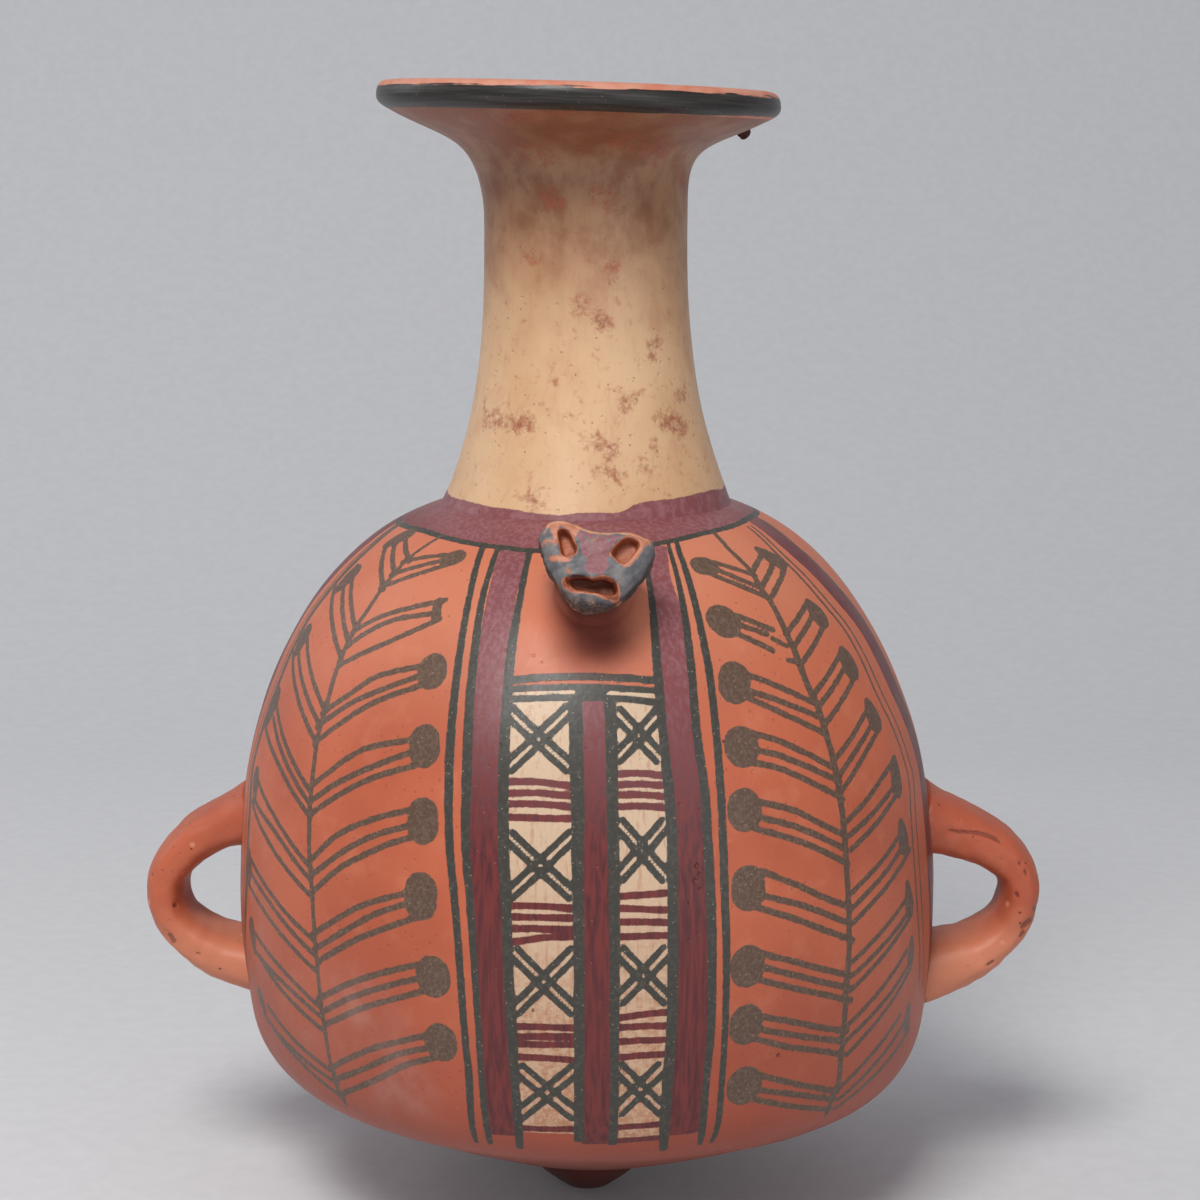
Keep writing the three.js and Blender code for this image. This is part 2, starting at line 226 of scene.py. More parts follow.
def stretch_of(outline, low, high, gap):
    """The part of an outline between two heights, evenly spaced."""
    heights = outline[:, 1]
    inner = outline[(heights > low + 0.01) & (heights < high - 0.01)]
    ends = [[np.interp(height, heights, outline[:, 0]), height] for height in (low, high)]
    return spaced(np.vstack([ends[:1], inner, ends[1:]]), gap)


def inset(outline, distance):
    along = np.gradient(outline, axis=0)
    along /= np.linalg.norm(along, axis=1)[:, None]
    return outline + distance * np.column_stack([-along[:, 1], along[:, 0]])


inner_outline = inset(jar_outline, WALL)


# The eye behind the photograph
pitch = math.radians(CAMERA_PITCH)
camera_ahead = np.array([0, math.cos(pitch), -math.sin(pitch)])
camera_up = np.array([0, math.sin(pitch), math.cos(pitch)])


def sight(across, down):
    """The direction in which a pixel of the photograph looks."""
    half = PHOTO_SIDE / 2
    ray = camera_ahead * FOCAL_PIXELS + camera_up * (half - down)
    ray = ray + np.array([across - half, 0, 0])
    return ray / np.linalg.norm(ray)


def on_wall(across, down):
    """The place on the jar's outer face that a pixel of the photograph shows."""
    far = np.linspace(540, 720, 1801)[:, None]
    places = CAMERA_AT + far * sight(across, down)
    outside = np.hypot(places[:, 0], places[:, 1]) - radius_at(places[:, 2])
    enters = np.flatnonzero((outside[:-1] > 0) & (outside[1:] <= 0))
    if not len(enters):
        return to_wall(places[np.argmin(outside)])
    i = enters[0]
    share = outside[i] / (outside[i] - outside[i + 1])
    return to_wall(places[i] + share * (places[i + 1] - places[i]))


def to_wall(place):
    """A place moved in or out, at its own height, to the jar's outer face."""
    flat = math.hypot(place[0], place[1])
    scale = radius_at(place[2]) / flat
    return np.array([place[0] * scale, place[1] * scale, place[2]])


def in_plane(across, down, depth):
    """The place that a pixel shows in the upright plane at a depth."""
    ray = sight(across, down)
    return CAMERA_AT + ray * (depth - CAMERA_AT[1]) / ray[1]


# Meshes
def object_of(name, bm):
    mesh = bpy.data.meshes.new(name)
    bm.to_mesh(mesh)
    bm.free()
    mesh.shade_smooth()
    made = bpy.data.objects.new(name, mesh)
    bpy.context.scene.collection.objects.link(made)
    return made


def mesh_piece(name, bm, node, sharp=50):
    """Makes an object of a mesh in millimetres, and lets it stand for a CAD node."""
    bmesh.ops.scale(bm, vec=(MM, MM, MM), verts=bm.verts)
    piece = object_of(name, bm)
    if sharp:
        piece.data.set_sharp_from_angle(angle=math.radians(sharp))
    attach(piece, "root")
    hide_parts(node)
    return piece


def only(kind, items):
    return [item for item in items if isinstance(item, kind)]


def rows_of(piece, what):
    flat = np.empty(len(piece.data.vertices) * 3, np.float32)
    piece.data.vertices.foreach_get(what, flat)
    return flat.reshape(-1, 3).astype(float)


def places_of(piece):
    return rows_of(piece, "co") / MM


def move_to(piece, places):
    piece.data.vertices.foreach_set("co", (places * MM).astype(np.float32).ravel())
    piece.data.update()


def swollen(piece, places, amount):
    """Places moved out from the piece's face, each by its own amount."""
    return places + rows_of(piece, "normal") * amount[:, None]


def keep(piece, name, values):
    layer = piece.data.attributes.new(name, "FLOAT", "POINT")
    layer.data.foreach_set("value", np.asarray(values, np.float32))


def waves(places, seed, size):
    """Slow unevenness between -1 and 1, as a hand leaves it."""
    count = 9
    draw = np.random.default_rng(seed)
    turns = draw.normal(size=(count, 3))
    turns *= (2 * math.pi / size) * draw.uniform(0.6, 1.5, (count, 1)) / np.linalg.norm(
        turns, axis=1)[:, None]
    starts = draw.uniform(0, 2 * math.pi, count)
    return np.sin(places @ turns.T + starts).mean(axis=1) * 1.8


def smoothstep(low, high, value):
    t = np.clip((value - low) / (high - low), 0, 1)
    return t * t * (3 - 2 * t)


def slanted(places):
    """The mouth was set on a little aslant."""
    share = smoothstep(NECK_BASE[1], FLARE_TOP[1], places[:, 2])
    flare = smoothstep(WAIST[1] + 4, FLARE_TOP[1], places[:, 2])
    places[:, 2] -= share * MOUTH_DROP * places[:, 0] / LIP_RADIUS + flare * MOUTH_SINK
    places[:, 0] += flare * MOUTH_ASIDE
    return places


def by_hand(piece):
    """Takes the wheel-like trueness out of a turned piece."""
    places = places_of(piece)
    flat = np.hypot(places[:, 0], places[:, 1]) + 1e-6
    away = places[:, :2] / flat[:, None]
    height = places[:, 2].copy()
    amount = 0.34 * waves(places, 4, 75) + 0.1 * waves(places, 5, 22)
    amount *= smoothstep(0, 30, flat)
    swell = smoothstep(88, 125, height) * smoothstep(190, 176, height)
    amount += SHOULDER_SWELL * swell * np.clip(-away[:, 0], 0, 1) ** 2
    amount += KNUCKLE_SWELL * smoothstep(62, 44, height) * smoothstep(20, 33, height)
    lean = smoothstep(100, 50, height) * smoothstep(20, 50, flat)
    places[:, 2] -= BELLY_LEAN * lean * places[:, 0]
    places[:, :2] += away * amount[:, None]
    move_to(piece, slanted(places))


def turned(outline, steps, back_steps=None, closed=True):
    """An outline of radius and height spun about the jar's axis, finer in front if need be."""
    bm = bmesh.new()
    arcs = [(0, 360, steps)]
    if back_steps:
        arcs = [(-90 - FRONT_SPAN / 2, FRONT_SPAN, steps),
                (-90 + FRONT_SPAN / 2, 360 - FRONT_SPAN, back_steps)]
    for start, span, count in arcs:
        part = bpy.data.meshes.new("part")
        arc(outline, closed, start, span, count).to_mesh(part)
        bm.from_mesh(part)
        bpy.data.meshes.remove(part)
    bmesh.ops.remove_doubles(bm, verts=bm.verts, dist=1e-3)
    bmesh.ops.recalc_face_normals(bm, faces=bm.faces)
    return bm


def arc(outline, closed, start, span, steps):
    """Spins an eighth of an arc, and lays copies of it on until the arc is full."""
    bm = bmesh.new()
    ring = [bm.verts.new((radius, 0, height)) for radius, height in outline]
    following = ring[1:] + ring[:1] if closed else ring[1:]
    edges = [bm.edges.new(pair) for pair in zip(ring, following)]

    def turn(verts, angle):
        bmesh.ops.rotate(bm, cent=(0, 0, 0), matrix=Matrix.Rotation(angle, 3, "Z"), verts=verts)

    turn(ring, math.radians(start))
    eighth = math.radians(span / 8)
    bmesh.ops.spin(bm, geom=ring + edges, cent=(0, 0, 0), axis=(0, 0, 1), dvec=(0, 0, 0),
                   angle=eighth, steps=steps // 8, use_merge=False, use_duplicate=False)
    for angle in (eighth, 2 * eighth, 4 * eighth):
        made = bmesh.ops.duplicate(bm, geom=bm.verts[:] + bm.edges[:] + bm.faces[:])["geom"]
        turn(only(BMVert, made), angle)
    return bm


def turned_piece(name, node, outline, steps, back_steps=None, closed=True):
    piece = mesh_piece(name, turned(outline, steps, back_steps, closed), node)
    by_hand(piece)
    return piece


def course(name, node, low, high, gap, steps, back_steps=None, inside_high=None):
    """A ring of the wall, fine on the outside where it is painted."""
    outside = stretch_of(jar_outline, low, high, gap)
    inside = stretch_of(inner_outline, low + SEAM_RISE, inside_high or high + SEAM_RISE, 8)[::-1]
    return turned_piece(name, node, np.vstack([outside, inside]), steps, back_steps)


# Paint: each coat is a set of brush strokes, kept on the mesh as the distance to their edge
def stroke(points, width, square=False):
    """A brush stroke through pixels of the photograph, of one width or one for each point."""
    line = np.array([on_wall(*point) for point in points])
    widths = np.full(len(line), float(width)) if np.isscalar(width) else np.array(width, float)
    bent = smooth_line(np.column_stack([line, widths]), STROKE_SPACING)
    return np.array([to_wall(place) for place in bent[:, :3]]), bent[:, 3] / 2, square


def nearest(places, strokes, reach=REACH):
    """How far each place lies outside the nearest stroke, up to a limit."""
    away = np.full(len(places), float(reach))
    for line, half, square in strokes:
        margin = half.max() + reach
        inside = np.all((places > line.min(0) - margin) & (places < line.max(0) + margin), axis=1)
        near = np.flatnonzero(inside)
        if not len(near):
            continue
        close = places[near]
        best = np.full(len(near), np.inf)
        for a, b, half_a, half_b in zip(line, line[1:], half, half[1:]):
            along = b - a
            share = np.clip((close - a) @ along / (along @ along + 1e-9), 0, 1)
            gap = np.linalg.norm(close - a - share[:, None] * along, axis=1)
            best = np.minimum(best, gap - half_a - (half_b - half_a) * share)
        if square:
            for end, inner in ((line[0], line[3]), (line[-1], line[-4])):
                out = (end - inner) / np.linalg.norm(end - inner)
                best = np.maximum(best, (close - end) @ out)
        away[near] = np.minimum(away[near], best)
    return np.clip(away, -reach, reach)


# The painted panel, in pixels of the photograph. Each line runs down the front: its first
# pixels, how far across it lies at each row, and its last pixels
LEFT_ROWS = (597, 655, 712, 770, 840, 901, 962, 1024, 1085)
RIGHT_ROWS = (616, 674, 731, 789, 840, 901, 962, 1024, 1085)


def ruled(above, rows, across, below):
    return [*above, *zip(across, rows), *below]


LEFT_OUTER_LINE = ruled(
    [(487, 540)], LEFT_ROWS, (470, 460, 454, 450, 450, 455, 459.5, 464, 469.5),
    [(473.5, 1126), (477.5, 1141)])
LEFT_SECOND_LINE = ruled(
    [(501, 540), (494.5, 559)], LEFT_ROWS, (483, 474.5, 470, 467.5, 466, 470, 474, 478, 482),
    [(488, 1126), (491, 1142)])
LEFT_INNER_LINE = ruled(
    [(533.5, 540)], LEFT_ROWS, (520.5, 511, 506.5, 504, 503.5, 506, 508, 511.5, 515),
    [(519, 1126), (520.5, 1146)])
LEFT_CORE_LINE = [
    (575, 700), (576, 740), (578, 820), (577.5, 860), (579, 962), (579, 1085), (579.5, 1141)
]
RIGHT_CORE_LINE = [
    (610, 700), (611.5, 740), (613, 820), (614.5, 901), (614.5, 1024), (614.5, 1085), (612.5, 1144)
]
RIGHT_INNER_LINE = ruled(
    [(645, 545), (647.5, 578)], RIGHT_ROWS, (652.5, 658, 663, 669, 672.5, 673, 673, 672, 667.5),
    [(663.5, 1126), (662.5, 1147)])
RIGHT_SECOND_LINE = ruled(
    [(668, 542), (672.5, 559)], RIGHT_ROWS, (685, 692, 697, 705, 708, 711, 712, 711.5, 706),
    [(701, 1126), (698, 1142)])
RIGHT_OUTER_LINE = ruled(
    [(676, 540), (682, 559)], RIGHT_ROWS, (698, 709.5, 716.5, 721, 723.5, 725, 726.5, 725.5, 721.5),
    [(715.5, 1126), (709.5, 1140)])
LEFT_BAND = ruled(
    [(517, 543)], LEFT_ROWS, (502, 493, 488, 485.5, 484.5, 488, 491, 494.5, 498.5),
    [(503, 1122), (505, 1134)])
RIGHT_BAND = ruled(
    [(657, 545), (660, 578)], RIGHT_ROWS, (668, 675, 680, 687, 690.5, 692, 692.5, 692, 687),
    [(682.5, 1120), (681, 1133)])
CORE_BAND = [(593, 700), (595, 770), (596, 901), (596.5, 1024), (597, 1085), (597, 1143)]
LEFT_COLUMN = [
    (539, 700), (539, 770), (540.5, 840), (542, 901), (543, 962), (546, 1024), (548, 1132)
]
RIGHT_COLUMN = [
    (634, 700), (639, 770), (642.5, 840), (643.5, 901), (643, 1024), (641, 1085), (638, 1137)
]

black = [
    stroke(LEFT_OUTER_LINE, [1.6, 1.7, 2.0, 2.2, 2.3, 2.1, 2.0, 1.9, 1.8, 1.9, 1.6, 1.2]),
    stroke(LEFT_SECOND_LINE, [1.4, 1.5, 1.7, 2.1, 2.3, 2.4, 2.2, 1.9, 1.7, 1.6, 1.6, 1.7, 1.4]),
    stroke(LEFT_INNER_LINE, [1.5, 1.8, 2.3, 2.5, 2.6, 2.7, 2.6, 2.4, 2.5, 2.2, 2.2, 1.7]),
    stroke(LEFT_CORE_LINE, [3.2, 3.3, 3.1, 2.8, 2.6, 2.4, 2.5], True),
    stroke(RIGHT_CORE_LINE, [2.8, 2.8, 2.8, 2.6, 2.3, 2.1, 2.2], True),
    stroke(RIGHT_INNER_LINE, [1.3, 1.5, 2.0, 2.2, 2.2, 2.5, 2.6, 2.6, 2.6, 2.6, 2.6, 2.5, 2.1]),
    stroke(RIGHT_SECOND_LINE, [1.0, 1.2, 1.8, 2.0, 2.2, 2.3, 2.4, 2.4, 2.3, 2.1, 1.8, 1.9, 1.2]),
    stroke(RIGHT_OUTER_LINE, [1.2, 1.6, 1.9, 2.0, 2.0, 2.1, 2.1, 2.1, 1.9, 1.7, 1.6, 1.5, 1.1]),
    stroke([(512, 680), (540, 677.5), (580, 676.5), (625, 678), (658, 681)], 1.9),
    stroke([(510, 689), (545, 687.5), (590, 687), (630, 689), (659, 691)], 1.6),
    stroke([(508, 699), (545, 698), (590, 697.5), (630, 699.5), (661, 703)], 1.7),
    stroke([(580, 690), (592, 692), (604, 690)], 2.4),
]
maroon = [
    stroke(LEFT_BAND, [7.0, 7.2, 7.5, 7.6, 7.6, 7.7, 7.6, 7.5, 7.3, 7.3, 6.9, 6.4], True),
    stroke(RIGHT_BAND, [4.6, 5.4, 7.4, 7.9, 7.9, 8.0, 8.2, 8.3, 8.4, 8.6, 8.8, 8.7, 8.4], True),
    stroke(CORE_BAND, [7.0, 7.0, 7.3, 7.4, 7.6, 7.2], True),
]
cream = [stroke(LEFT_COLUMN, [15.4, 15.8, 16.2, 16.4, 16.2, 15.6, 14.6], True),
         stroke(RIGHT_COLUMN, [10.6, 12.2, 13.4, 13.6, 13.6, 12.6, 11.6], True),
         stroke([(512, 694.5), (560, 693), (600, 693), (657, 696)], 1.4)]

# The left and right edges of the cream columns, from their top to their foot
COLUMN_ROWS = (700, 789, 901, 1024, 1085, 1140)
LEFT_COLUMN_EDGES = ((509, 507.5, 510, 516, 519, 523), (569, 570, 573, 575, 575, 575))
RIGHT_COLUMN_EDGES = ((616, 618, 619.5, 619.5, 618.5, 616.5), (658, 664, 667.5, 667, 662.5, 657))


def column_edges(down, edges):
    return [np.interp(down, COLUMN_ROWS, side) for side in edges]


# Half the distance between the lines of a pair, in pixels
CROSS_GAP = 5.1


def crossed(edges, middle, half):
    """Two pairs of lines that cross in the middle of a cell."""
    left, right = column_edges(middle, edges)
    for lean in (-1, 1):
        start = np.array([left, middle - lean * half])
        end = np.array([right, middle + lean * half])
        run = end - start
        aside = np.array([-run[1], run[0]]) / np.linalg.norm(run) * CROSS_GAP
        for side in (-1, 1):
            black.append(stroke([start + side * aside, end + side * aside], 1.6))


for middle, half in ((738.5, 29), (865.5, 29.5), (981.5, 29.5), (1092, 22)):
    crossed(LEFT_COLUMN_EDGES, middle, half)
for middle, half in ((735.5, 23), (850.5, 27), (975.5, 24.5), (1089, 21)):
    crossed(RIGHT_COLUMN_EDGES, middle, half)

# The bars across a column: where each starts, how it bows and where it ends
LEFT_BARS = (
    (781, 782, 786), (793, 793, 796), (803.5, 804, 807), (817, 818, 819), (905.5, 906.5, 908.5),
    (916.5, 917.5, 918.5), (928.5, 929, 930), (942, 938, 936.5), (1026.5, 1027, 1028),
    (1037, 1036.5, 1037), (1044, 1045, 1045), (1057, 1058.5, 1060.5), (1127, 1128, 1128)
)
RIGHT_BARS = (
    (774.5, 773.5, 776), (785, 784.5, 786), (795.5, 795, 797), (807, 806.5, 808), (896.5, 895, 893),
    (908.5, 909.5, 910), (922, 922, 922.5), (937, 936, 935.5), (1018.5, 1014.5, 1012.5),
    (1028, 1026.5, 1026), (1042, 1041, 1040), (1058, 1056, 1054.5), (1126.5, 1125, 1123),
    (1139.5, 1138, 1136)
)
for edges, bars in ((LEFT_COLUMN_EDGES, LEFT_BARS), (RIGHT_COLUMN_EDGES, RIGHT_BARS)):
    for bar in bars:
        left, right = column_edges(bar[1], edges)
        maroon.append(stroke(zip((left, (left + right) / 2, right), bar), [1.8, 1.65, 1.8]))

# Ferns: a stem, and branches of three lines that rise to a tip. A tip is a dab from one pixel to
# another, with its width in millimetres. A line reaches past its ends by some pixels, and the dab
# of an outer branch is drawn in at its ends and swells towards its tip
LINE_ENDS = (4, 5)
DAB_ENDS = (-3, -4)
DAB_WIDTHS = (0.6, 1, 1.1)
LEFT_STEM = [
    (444, 535), (412, 557), (399, 571), (386, 586), (372.5, 606), (359.5, 626), (346, 652.5),
    (338, 674), (329.5, 704), (320.5, 737), (317.5, 760), (312.5, 808), (310.5, 857), (312.5, 896),
    (315, 942), (319.5, 990), (325.5, 1038), (334, 1075), (346, 1104)
]
RIGHT_STEM = [
    (714, 532.5), (731, 551), (750, 570), (759, 586), (771, 603), (783, 627), (795, 653),
    (807, 684), (817.5, 706), (828, 739), (835.5, 768), (842.5, 814), (846, 860), (848.5, 906),
    (848.5, 952), (846, 987), (844, 1021), (840.5, 1051), (836, 1079), (828, 1097), (821, 1113)
]
LEFT_FERN_INNER = [
    ((451, 559, 457, 557, 5.4), [(409, 560.5), (426, 557), (444, 555)],
     [(397.5, 573), (420.5, 566), (441, 561)], [(386.5, 586), (412.5, 576), (444, 566)]),
    ((439, 602, 437, 616, 2.6), [(358.5, 629.5), (379, 618), (404, 609.5), (441, 601)],
     [(352.5, 644), (371, 631), (396, 619.5), (433, 613)],
     [(344.5, 664), (362.5, 654), (396, 639), (436, 621)]),
    ((433, 668, 433, 674, 7.6), [(328, 710.5), (354.5, 692), (379, 676), (421, 666)],
     [(323, 724), (354.5, 702), (387.5, 687.5), (419, 676)],
     [(320.5, 740.5), (346, 720.5), (379, 700.5), (426, 684)]),
    ((425.5, 741, 425.5, 750, 8.2), [(315, 785), (331, 772), (346, 760), (371, 747), (412, 739.5)],
     [(316, 799), (337, 784), (366, 769.5), (409, 753)],
     [(315, 812), (346, 791.5), (375.5, 777), (412, 766)]),
    ((423.5, 814.5, 423.5, 827, 8.1), [(315, 857), (332, 840), (351, 828), (380, 817), (409, 810)],
     [(316, 872.5), (346, 850), (375.5, 835), (409, 825.5)],
     [(313, 892), (339, 869), (366, 854.5), (390, 843.5), (416.5, 836)]),
    ((421, 890.5, 420.5, 902, 8.7), [(315, 933), (339, 917.5), (366, 904), (404.5, 893.5)],
     [(317, 948), (346, 930), (375.5, 914), (408, 903)],
     [(321, 960), (351, 942), (380, 930), (412, 919)]),
    ((432.5, 974, 433.5, 979, 8.9), [(321, 997.5), (351, 983), (385, 972), (416.5, 965)],
     [(325, 1010.5), (351, 997.5), (385, 986.5), (419, 978)],
     [(329, 1023), (361, 1008.5), (390, 1000), (421.5, 991.5)]),
    ((440.5, 1040, 441, 1045, 8.3), [(333, 1066.5), (366, 1051), (395, 1042.5), (424, 1036)],
     [(341, 1077.5), (366, 1068), (397, 1054.5), (426, 1048.5)],
     [(346, 1092), (375.5, 1080), (404.5, 1065.5), (433.5, 1058)]),
]
LEFT_FERN_OUTER = [
    ((389, 545, 412, 533, 2.7), [(411, 558), (409, 545)], [(397.5, 571), (399, 545)],
     [(386.5, 586), (390, 549)]),
    ((341, 590, 359, 571, 2.9), [(358.5, 626), (361, 570)], [(352, 642), (350, 586)],
     [(344.5, 655), (340.5, 590)]),
    ((299, 654, 311, 632, 3.0), [(326, 704), (313, 641)], [(321.5, 720.5), (304.5, 652.5)],
     [(318, 738), (299, 657)]),
    ((270.5, 722, 280.5, 695, 2.9), [(311, 787), (296, 760), (281.5, 707)],
     [(310.5, 800), (288.5, 760), (278, 722)], [(311, 814), (293, 787), (280, 760), (270, 728)]),
    ((256, 802, 259, 773, 2.5), [(310, 865), (278.5, 820.5), (262.5, 784)],
     [(308, 876), (278.5, 835), (259, 803)], [(311, 895), (271, 845), (255.5, 806)]),
    ((249.5, 879, 248.5, 853, 2.3), [(312, 938), (273.5, 898), (253, 862)],
     [(313, 953), (271, 905.5), (250.5, 870)], [(314.5, 969), (273.5, 925), (250.5, 886)]),
    ((255, 952, 251, 923, 2.3), [(318, 1005), (283.5, 971), (256.5, 934.5)],
     [(320, 1015.5), (283.5, 983), (256.5, 951.5)], [(323, 1030), (285.5, 995), (260.5, 958.5)]),
    ((265, 1014, 258, 991, 2.0), [(332, 1070.5), (295.5, 1041), (270, 1009.5)],
     [(335, 1081), (295.5, 1051), (266.5, 1017)], [(342, 1096), (300, 1060.5), (271, 1024)]),
]
RIGHT_FERN_INNER = [
    ((702, 566, 707, 566, 6.0), [(751, 574), (718, 563.5)], [(756, 586), (720, 571)],
     [(763, 596), (718, 577)]),
    ((722.5, 620, 724.5, 622, 8.6), [(768.5, 628), (740, 617)], [(762.5, 633), (742, 625.5)],
     [(769, 648.5), (738, 634)]),
    ((735, 678, 734.5, 687, 8.4), [(812, 702), (776, 685.5), (748.5, 675)],
     [(819, 717), (779.5, 701), (750, 691)], [(824, 733), (776, 710.5), (747, 697.5)]),
    ((742, 745, 742.5, 749, 9.0), [(834, 768), (786.5, 744), (757, 734.5)],
     [(837, 780), (786.5, 758), (759, 751)], [(840, 797), (786.5, 771), (754, 763)]),
    ((745, 807.5, 745, 812.5, 9.0), [(842, 834), (818.5, 822.5), (795.5, 811), (765.5, 803)],
     [(843, 848), (818.5, 836), (793.5, 826), (766, 819)],
     [(845, 862.5), (818.5, 849), (793.5, 839.5), (759, 829.5)]),
    ((748.5, 884, 748.5, 892.5, 8.8), [(848, 907), (823, 897), (798, 885.5), (766, 873)],
     [(848, 923), (823, 913), (798, 904), (768, 897)],
     [(849, 939), (823, 929.5), (798, 920), (761, 908.5)]),
    ((747.5, 963.5, 747.5, 969, 8.9), [(847, 975), (818.5, 968), (793.5, 961.5), (766, 954.5)],
     [(847, 987.5), (818.5, 981), (793.5, 975), (767, 968)],
     [(847, 999.5), (818.5, 993.5), (793.5, 988), (761, 980)]),
    ((746.5, 1022, 746, 1027.5, 8.7),
     [(843, 1030.5), (818.5, 1027), (793.5, 1022), (763.5, 1016.5)],
     [(841, 1041), (793.5, 1035), (764.5, 1030)],
     [(839, 1053.5), (814, 1050), (786.5, 1046.5), (759, 1039.5)]),
    ((744.5, 1084, 743.5, 1087, 9.2), [(830, 1089.5), (793.5, 1083), (763.5, 1076)],
     [(827, 1097.5), (793.5, 1093.5), (763.5, 1090)], [(821, 1107.5), (782, 1104), (756.5, 1099)]),
]
RIGHT_FERN_OUTER = [
    ((757, 549, 780, 563, 2.6), [(753.5, 568.5), (759, 558)], [(762.5, 584), (771, 566)],
     [(772.5, 593), (783, 567)]),
    ((807, 602, 822, 620, 2.9), [(787, 630.5), (804, 606)], [(795, 643), (811, 616)],
     [(803, 660), (823, 624)]),
    ((842, 650, 852, 671, 3.2), [(817, 689), (836.5, 659)], [(819, 705), (843.5, 667)],
     [(826, 722), (853.5, 676)]),
    ((867, 702, 876, 724, 3.0), [(836, 758), (864, 714)], [(838.5, 778), (852, 757), (871, 724)],
     [(842, 791), (860.5, 761.5), (877.5, 728)]),
    ((893.5, 758, 897, 790, 2.8), [(848.5, 819), (880.5, 780), (890, 764)],
     [(851, 833), (892, 787)], [(853, 847), (896, 793)]),
    ((900.5, 822, 904.5, 847, 2.8), [(854, 890), (894.5, 842)], [(854, 906), (901, 847)],
     [(855, 920), (907, 853)]),
    ((907, 882, 910, 911, 2.3), [(854, 959), (903.5, 902)], [(854, 973), (907, 913)],
     [(853, 987), (909, 917)]),
    ((911.5, 937, 910.5, 961, 2.1), [(848.5, 1023.5), (903.5, 954.5)], [(848.5, 1037), (907, 966)],
     [(848.5, 1051), (908.5, 970.5)]),
    ((909, 1003, 905, 1028, 2.1), [(839, 1083), (896.5, 1019)], [(837, 1094.5), (899, 1028)],
     [(832.5, 1104), (903.5, 1032.5)]),
]
STRAY_STROKES = [[(772, 638.5), (786.5, 646)], [(788, 660), (797, 662.5)]]


def reaching(line, at_stem, at_tip):
    """A line made longer at both ends."""
    line = np.array(line, float)
    start, end = line[0] - line[1], line[-1] - line[-2]
    line[0] += start / np.linalg.norm(start) * at_stem
    line[-1] += end / np.linalg.norm(end) * at_tip
    return line


def fern(stem, stem_widths, branches, width, tips=1):
    made = [stroke(stem, np.interp(np.linspace(0, 1, len(stem)), (0, 0.35, 1), stem_widths))]
    for (across, down, to_across, to_down, tip_width), *lines in branches:
        if tips == 1:
            made.append(stroke([(across, down), (to_across, to_down)], tip_width))
        else:
            dab = reaching([(across, down), (to_across, to_down)], *DAB_ENDS)
            dab = [dab[0], dab.mean(axis=0), dab[1]]
            made.append(stroke(dab, [tip_width * tips * share for share in DAB_WIDTHS]))
        made += [stroke(reaching(line, *LINE_ENDS), width) for line in lines]
    return made


fern_strokes = fern(LEFT_STEM, (1.2, 1.8, 1.4), LEFT_FERN_INNER, 1.55)
fern_strokes += fern(LEFT_STEM, (1.2, 1.8, 1.4), LEFT_FERN_OUTER, 1.45, 2.1)
fern_strokes += fern(RIGHT_STEM, (1.4, 2.2, 1.8), RIGHT_FERN_INNER, 1.6)
fern_strokes += fern(RIGHT_STEM, (1.4, 2.2, 1.8), RIGHT_FERN_OUTER, 1.5, 2.0)
fern_strokes += [stroke(line, 1.4) for line in STRAY_STROKES]

# The band down each side, from its inner line outwards: how many degrees round the jar each line
# lies from the first, and its width. The first is wider on the left
SIDE_LINE = [
    (748.5, 527), (776, 553), (800, 577), (821, 601), (845, 630.5), (860.5, 658), (877.5, 696),
    (895, 734), (905, 765), (908.5, 780), (911.5, 826), (916, 895), (919.5, 952), (919.5, 990)
]
LEFT_SIDE_TURN = (17.5, 8.5, 6.5)
LEFT_SIDE_FIRST = 3
RIGHT_SIDE_FIRST = 1.1
SIDE_SECOND = (2.6, 1)
SIDE_STRIPE = (11, 9.5)
SIDE_LAST = (15.2, 1.8)


def turned_round(line, degrees, mirror):
    """A stroke's line moved round the jar, or mirrored on to its other side."""
    around = np.arctan2(line[:, 0], -line[:, 1]) + np.radians(degrees)
    flat = np.hypot(line[:, 0], line[:, 1])
    return np.column_stack([mirror * flat * np.sin(around), -flat * np.cos(around), line[:, 2]])


side_line = stroke(SIDE_LINE, 1)[0]
left_turn = np.interp(np.linspace(0, 1, len(side_line)), (0, 0.5, 1), LEFT_SIDE_TURN)
for mirror, turn, first in ((-1, left_turn, LEFT_SIDE_FIRST), (1, 0, RIGHT_SIDE_FIRST)):
    for (degrees, width), coat in (((0, first), fern_strokes), (SIDE_SECOND, fern_strokes),
                                   (SIDE_STRIPE, maroon), (SIDE_LAST, fern_strokes)):
        moved = turned_round(side_line, degrees + turn, mirror)
        coat.append((moved, np.full(len(moved), width / 2), False))

# Pits in the wall, and a pale bloom on its lower left
pits = [stroke([(across, down), (across + 0.4, down + 0.6)], wide) for across, down, wide in (
    (697, 866, 1.1), (699, 874, 0.9), (695, 881, 1.2), (700, 888, 0.8), (778, 1055, 1.0),
    (688, 903, 0.7), (533, 1010, 0.7), (612, 871, 0.6), (668, 1052, 0.7), (724, 741, 0.6))]
bloom = [stroke([(250, 830), (256, 890), (262, 925)], 12),
         stroke([(345, 1004), (372, 1045), (398, 1098)], 15),
         stroke([(300, 1010), (318, 1052)], 10)]

# Painted shadow under the feline's chin, on the stalk and the shoulder below it
chin_shadow = [stroke([(590, 578), (595, 636)], 17)]

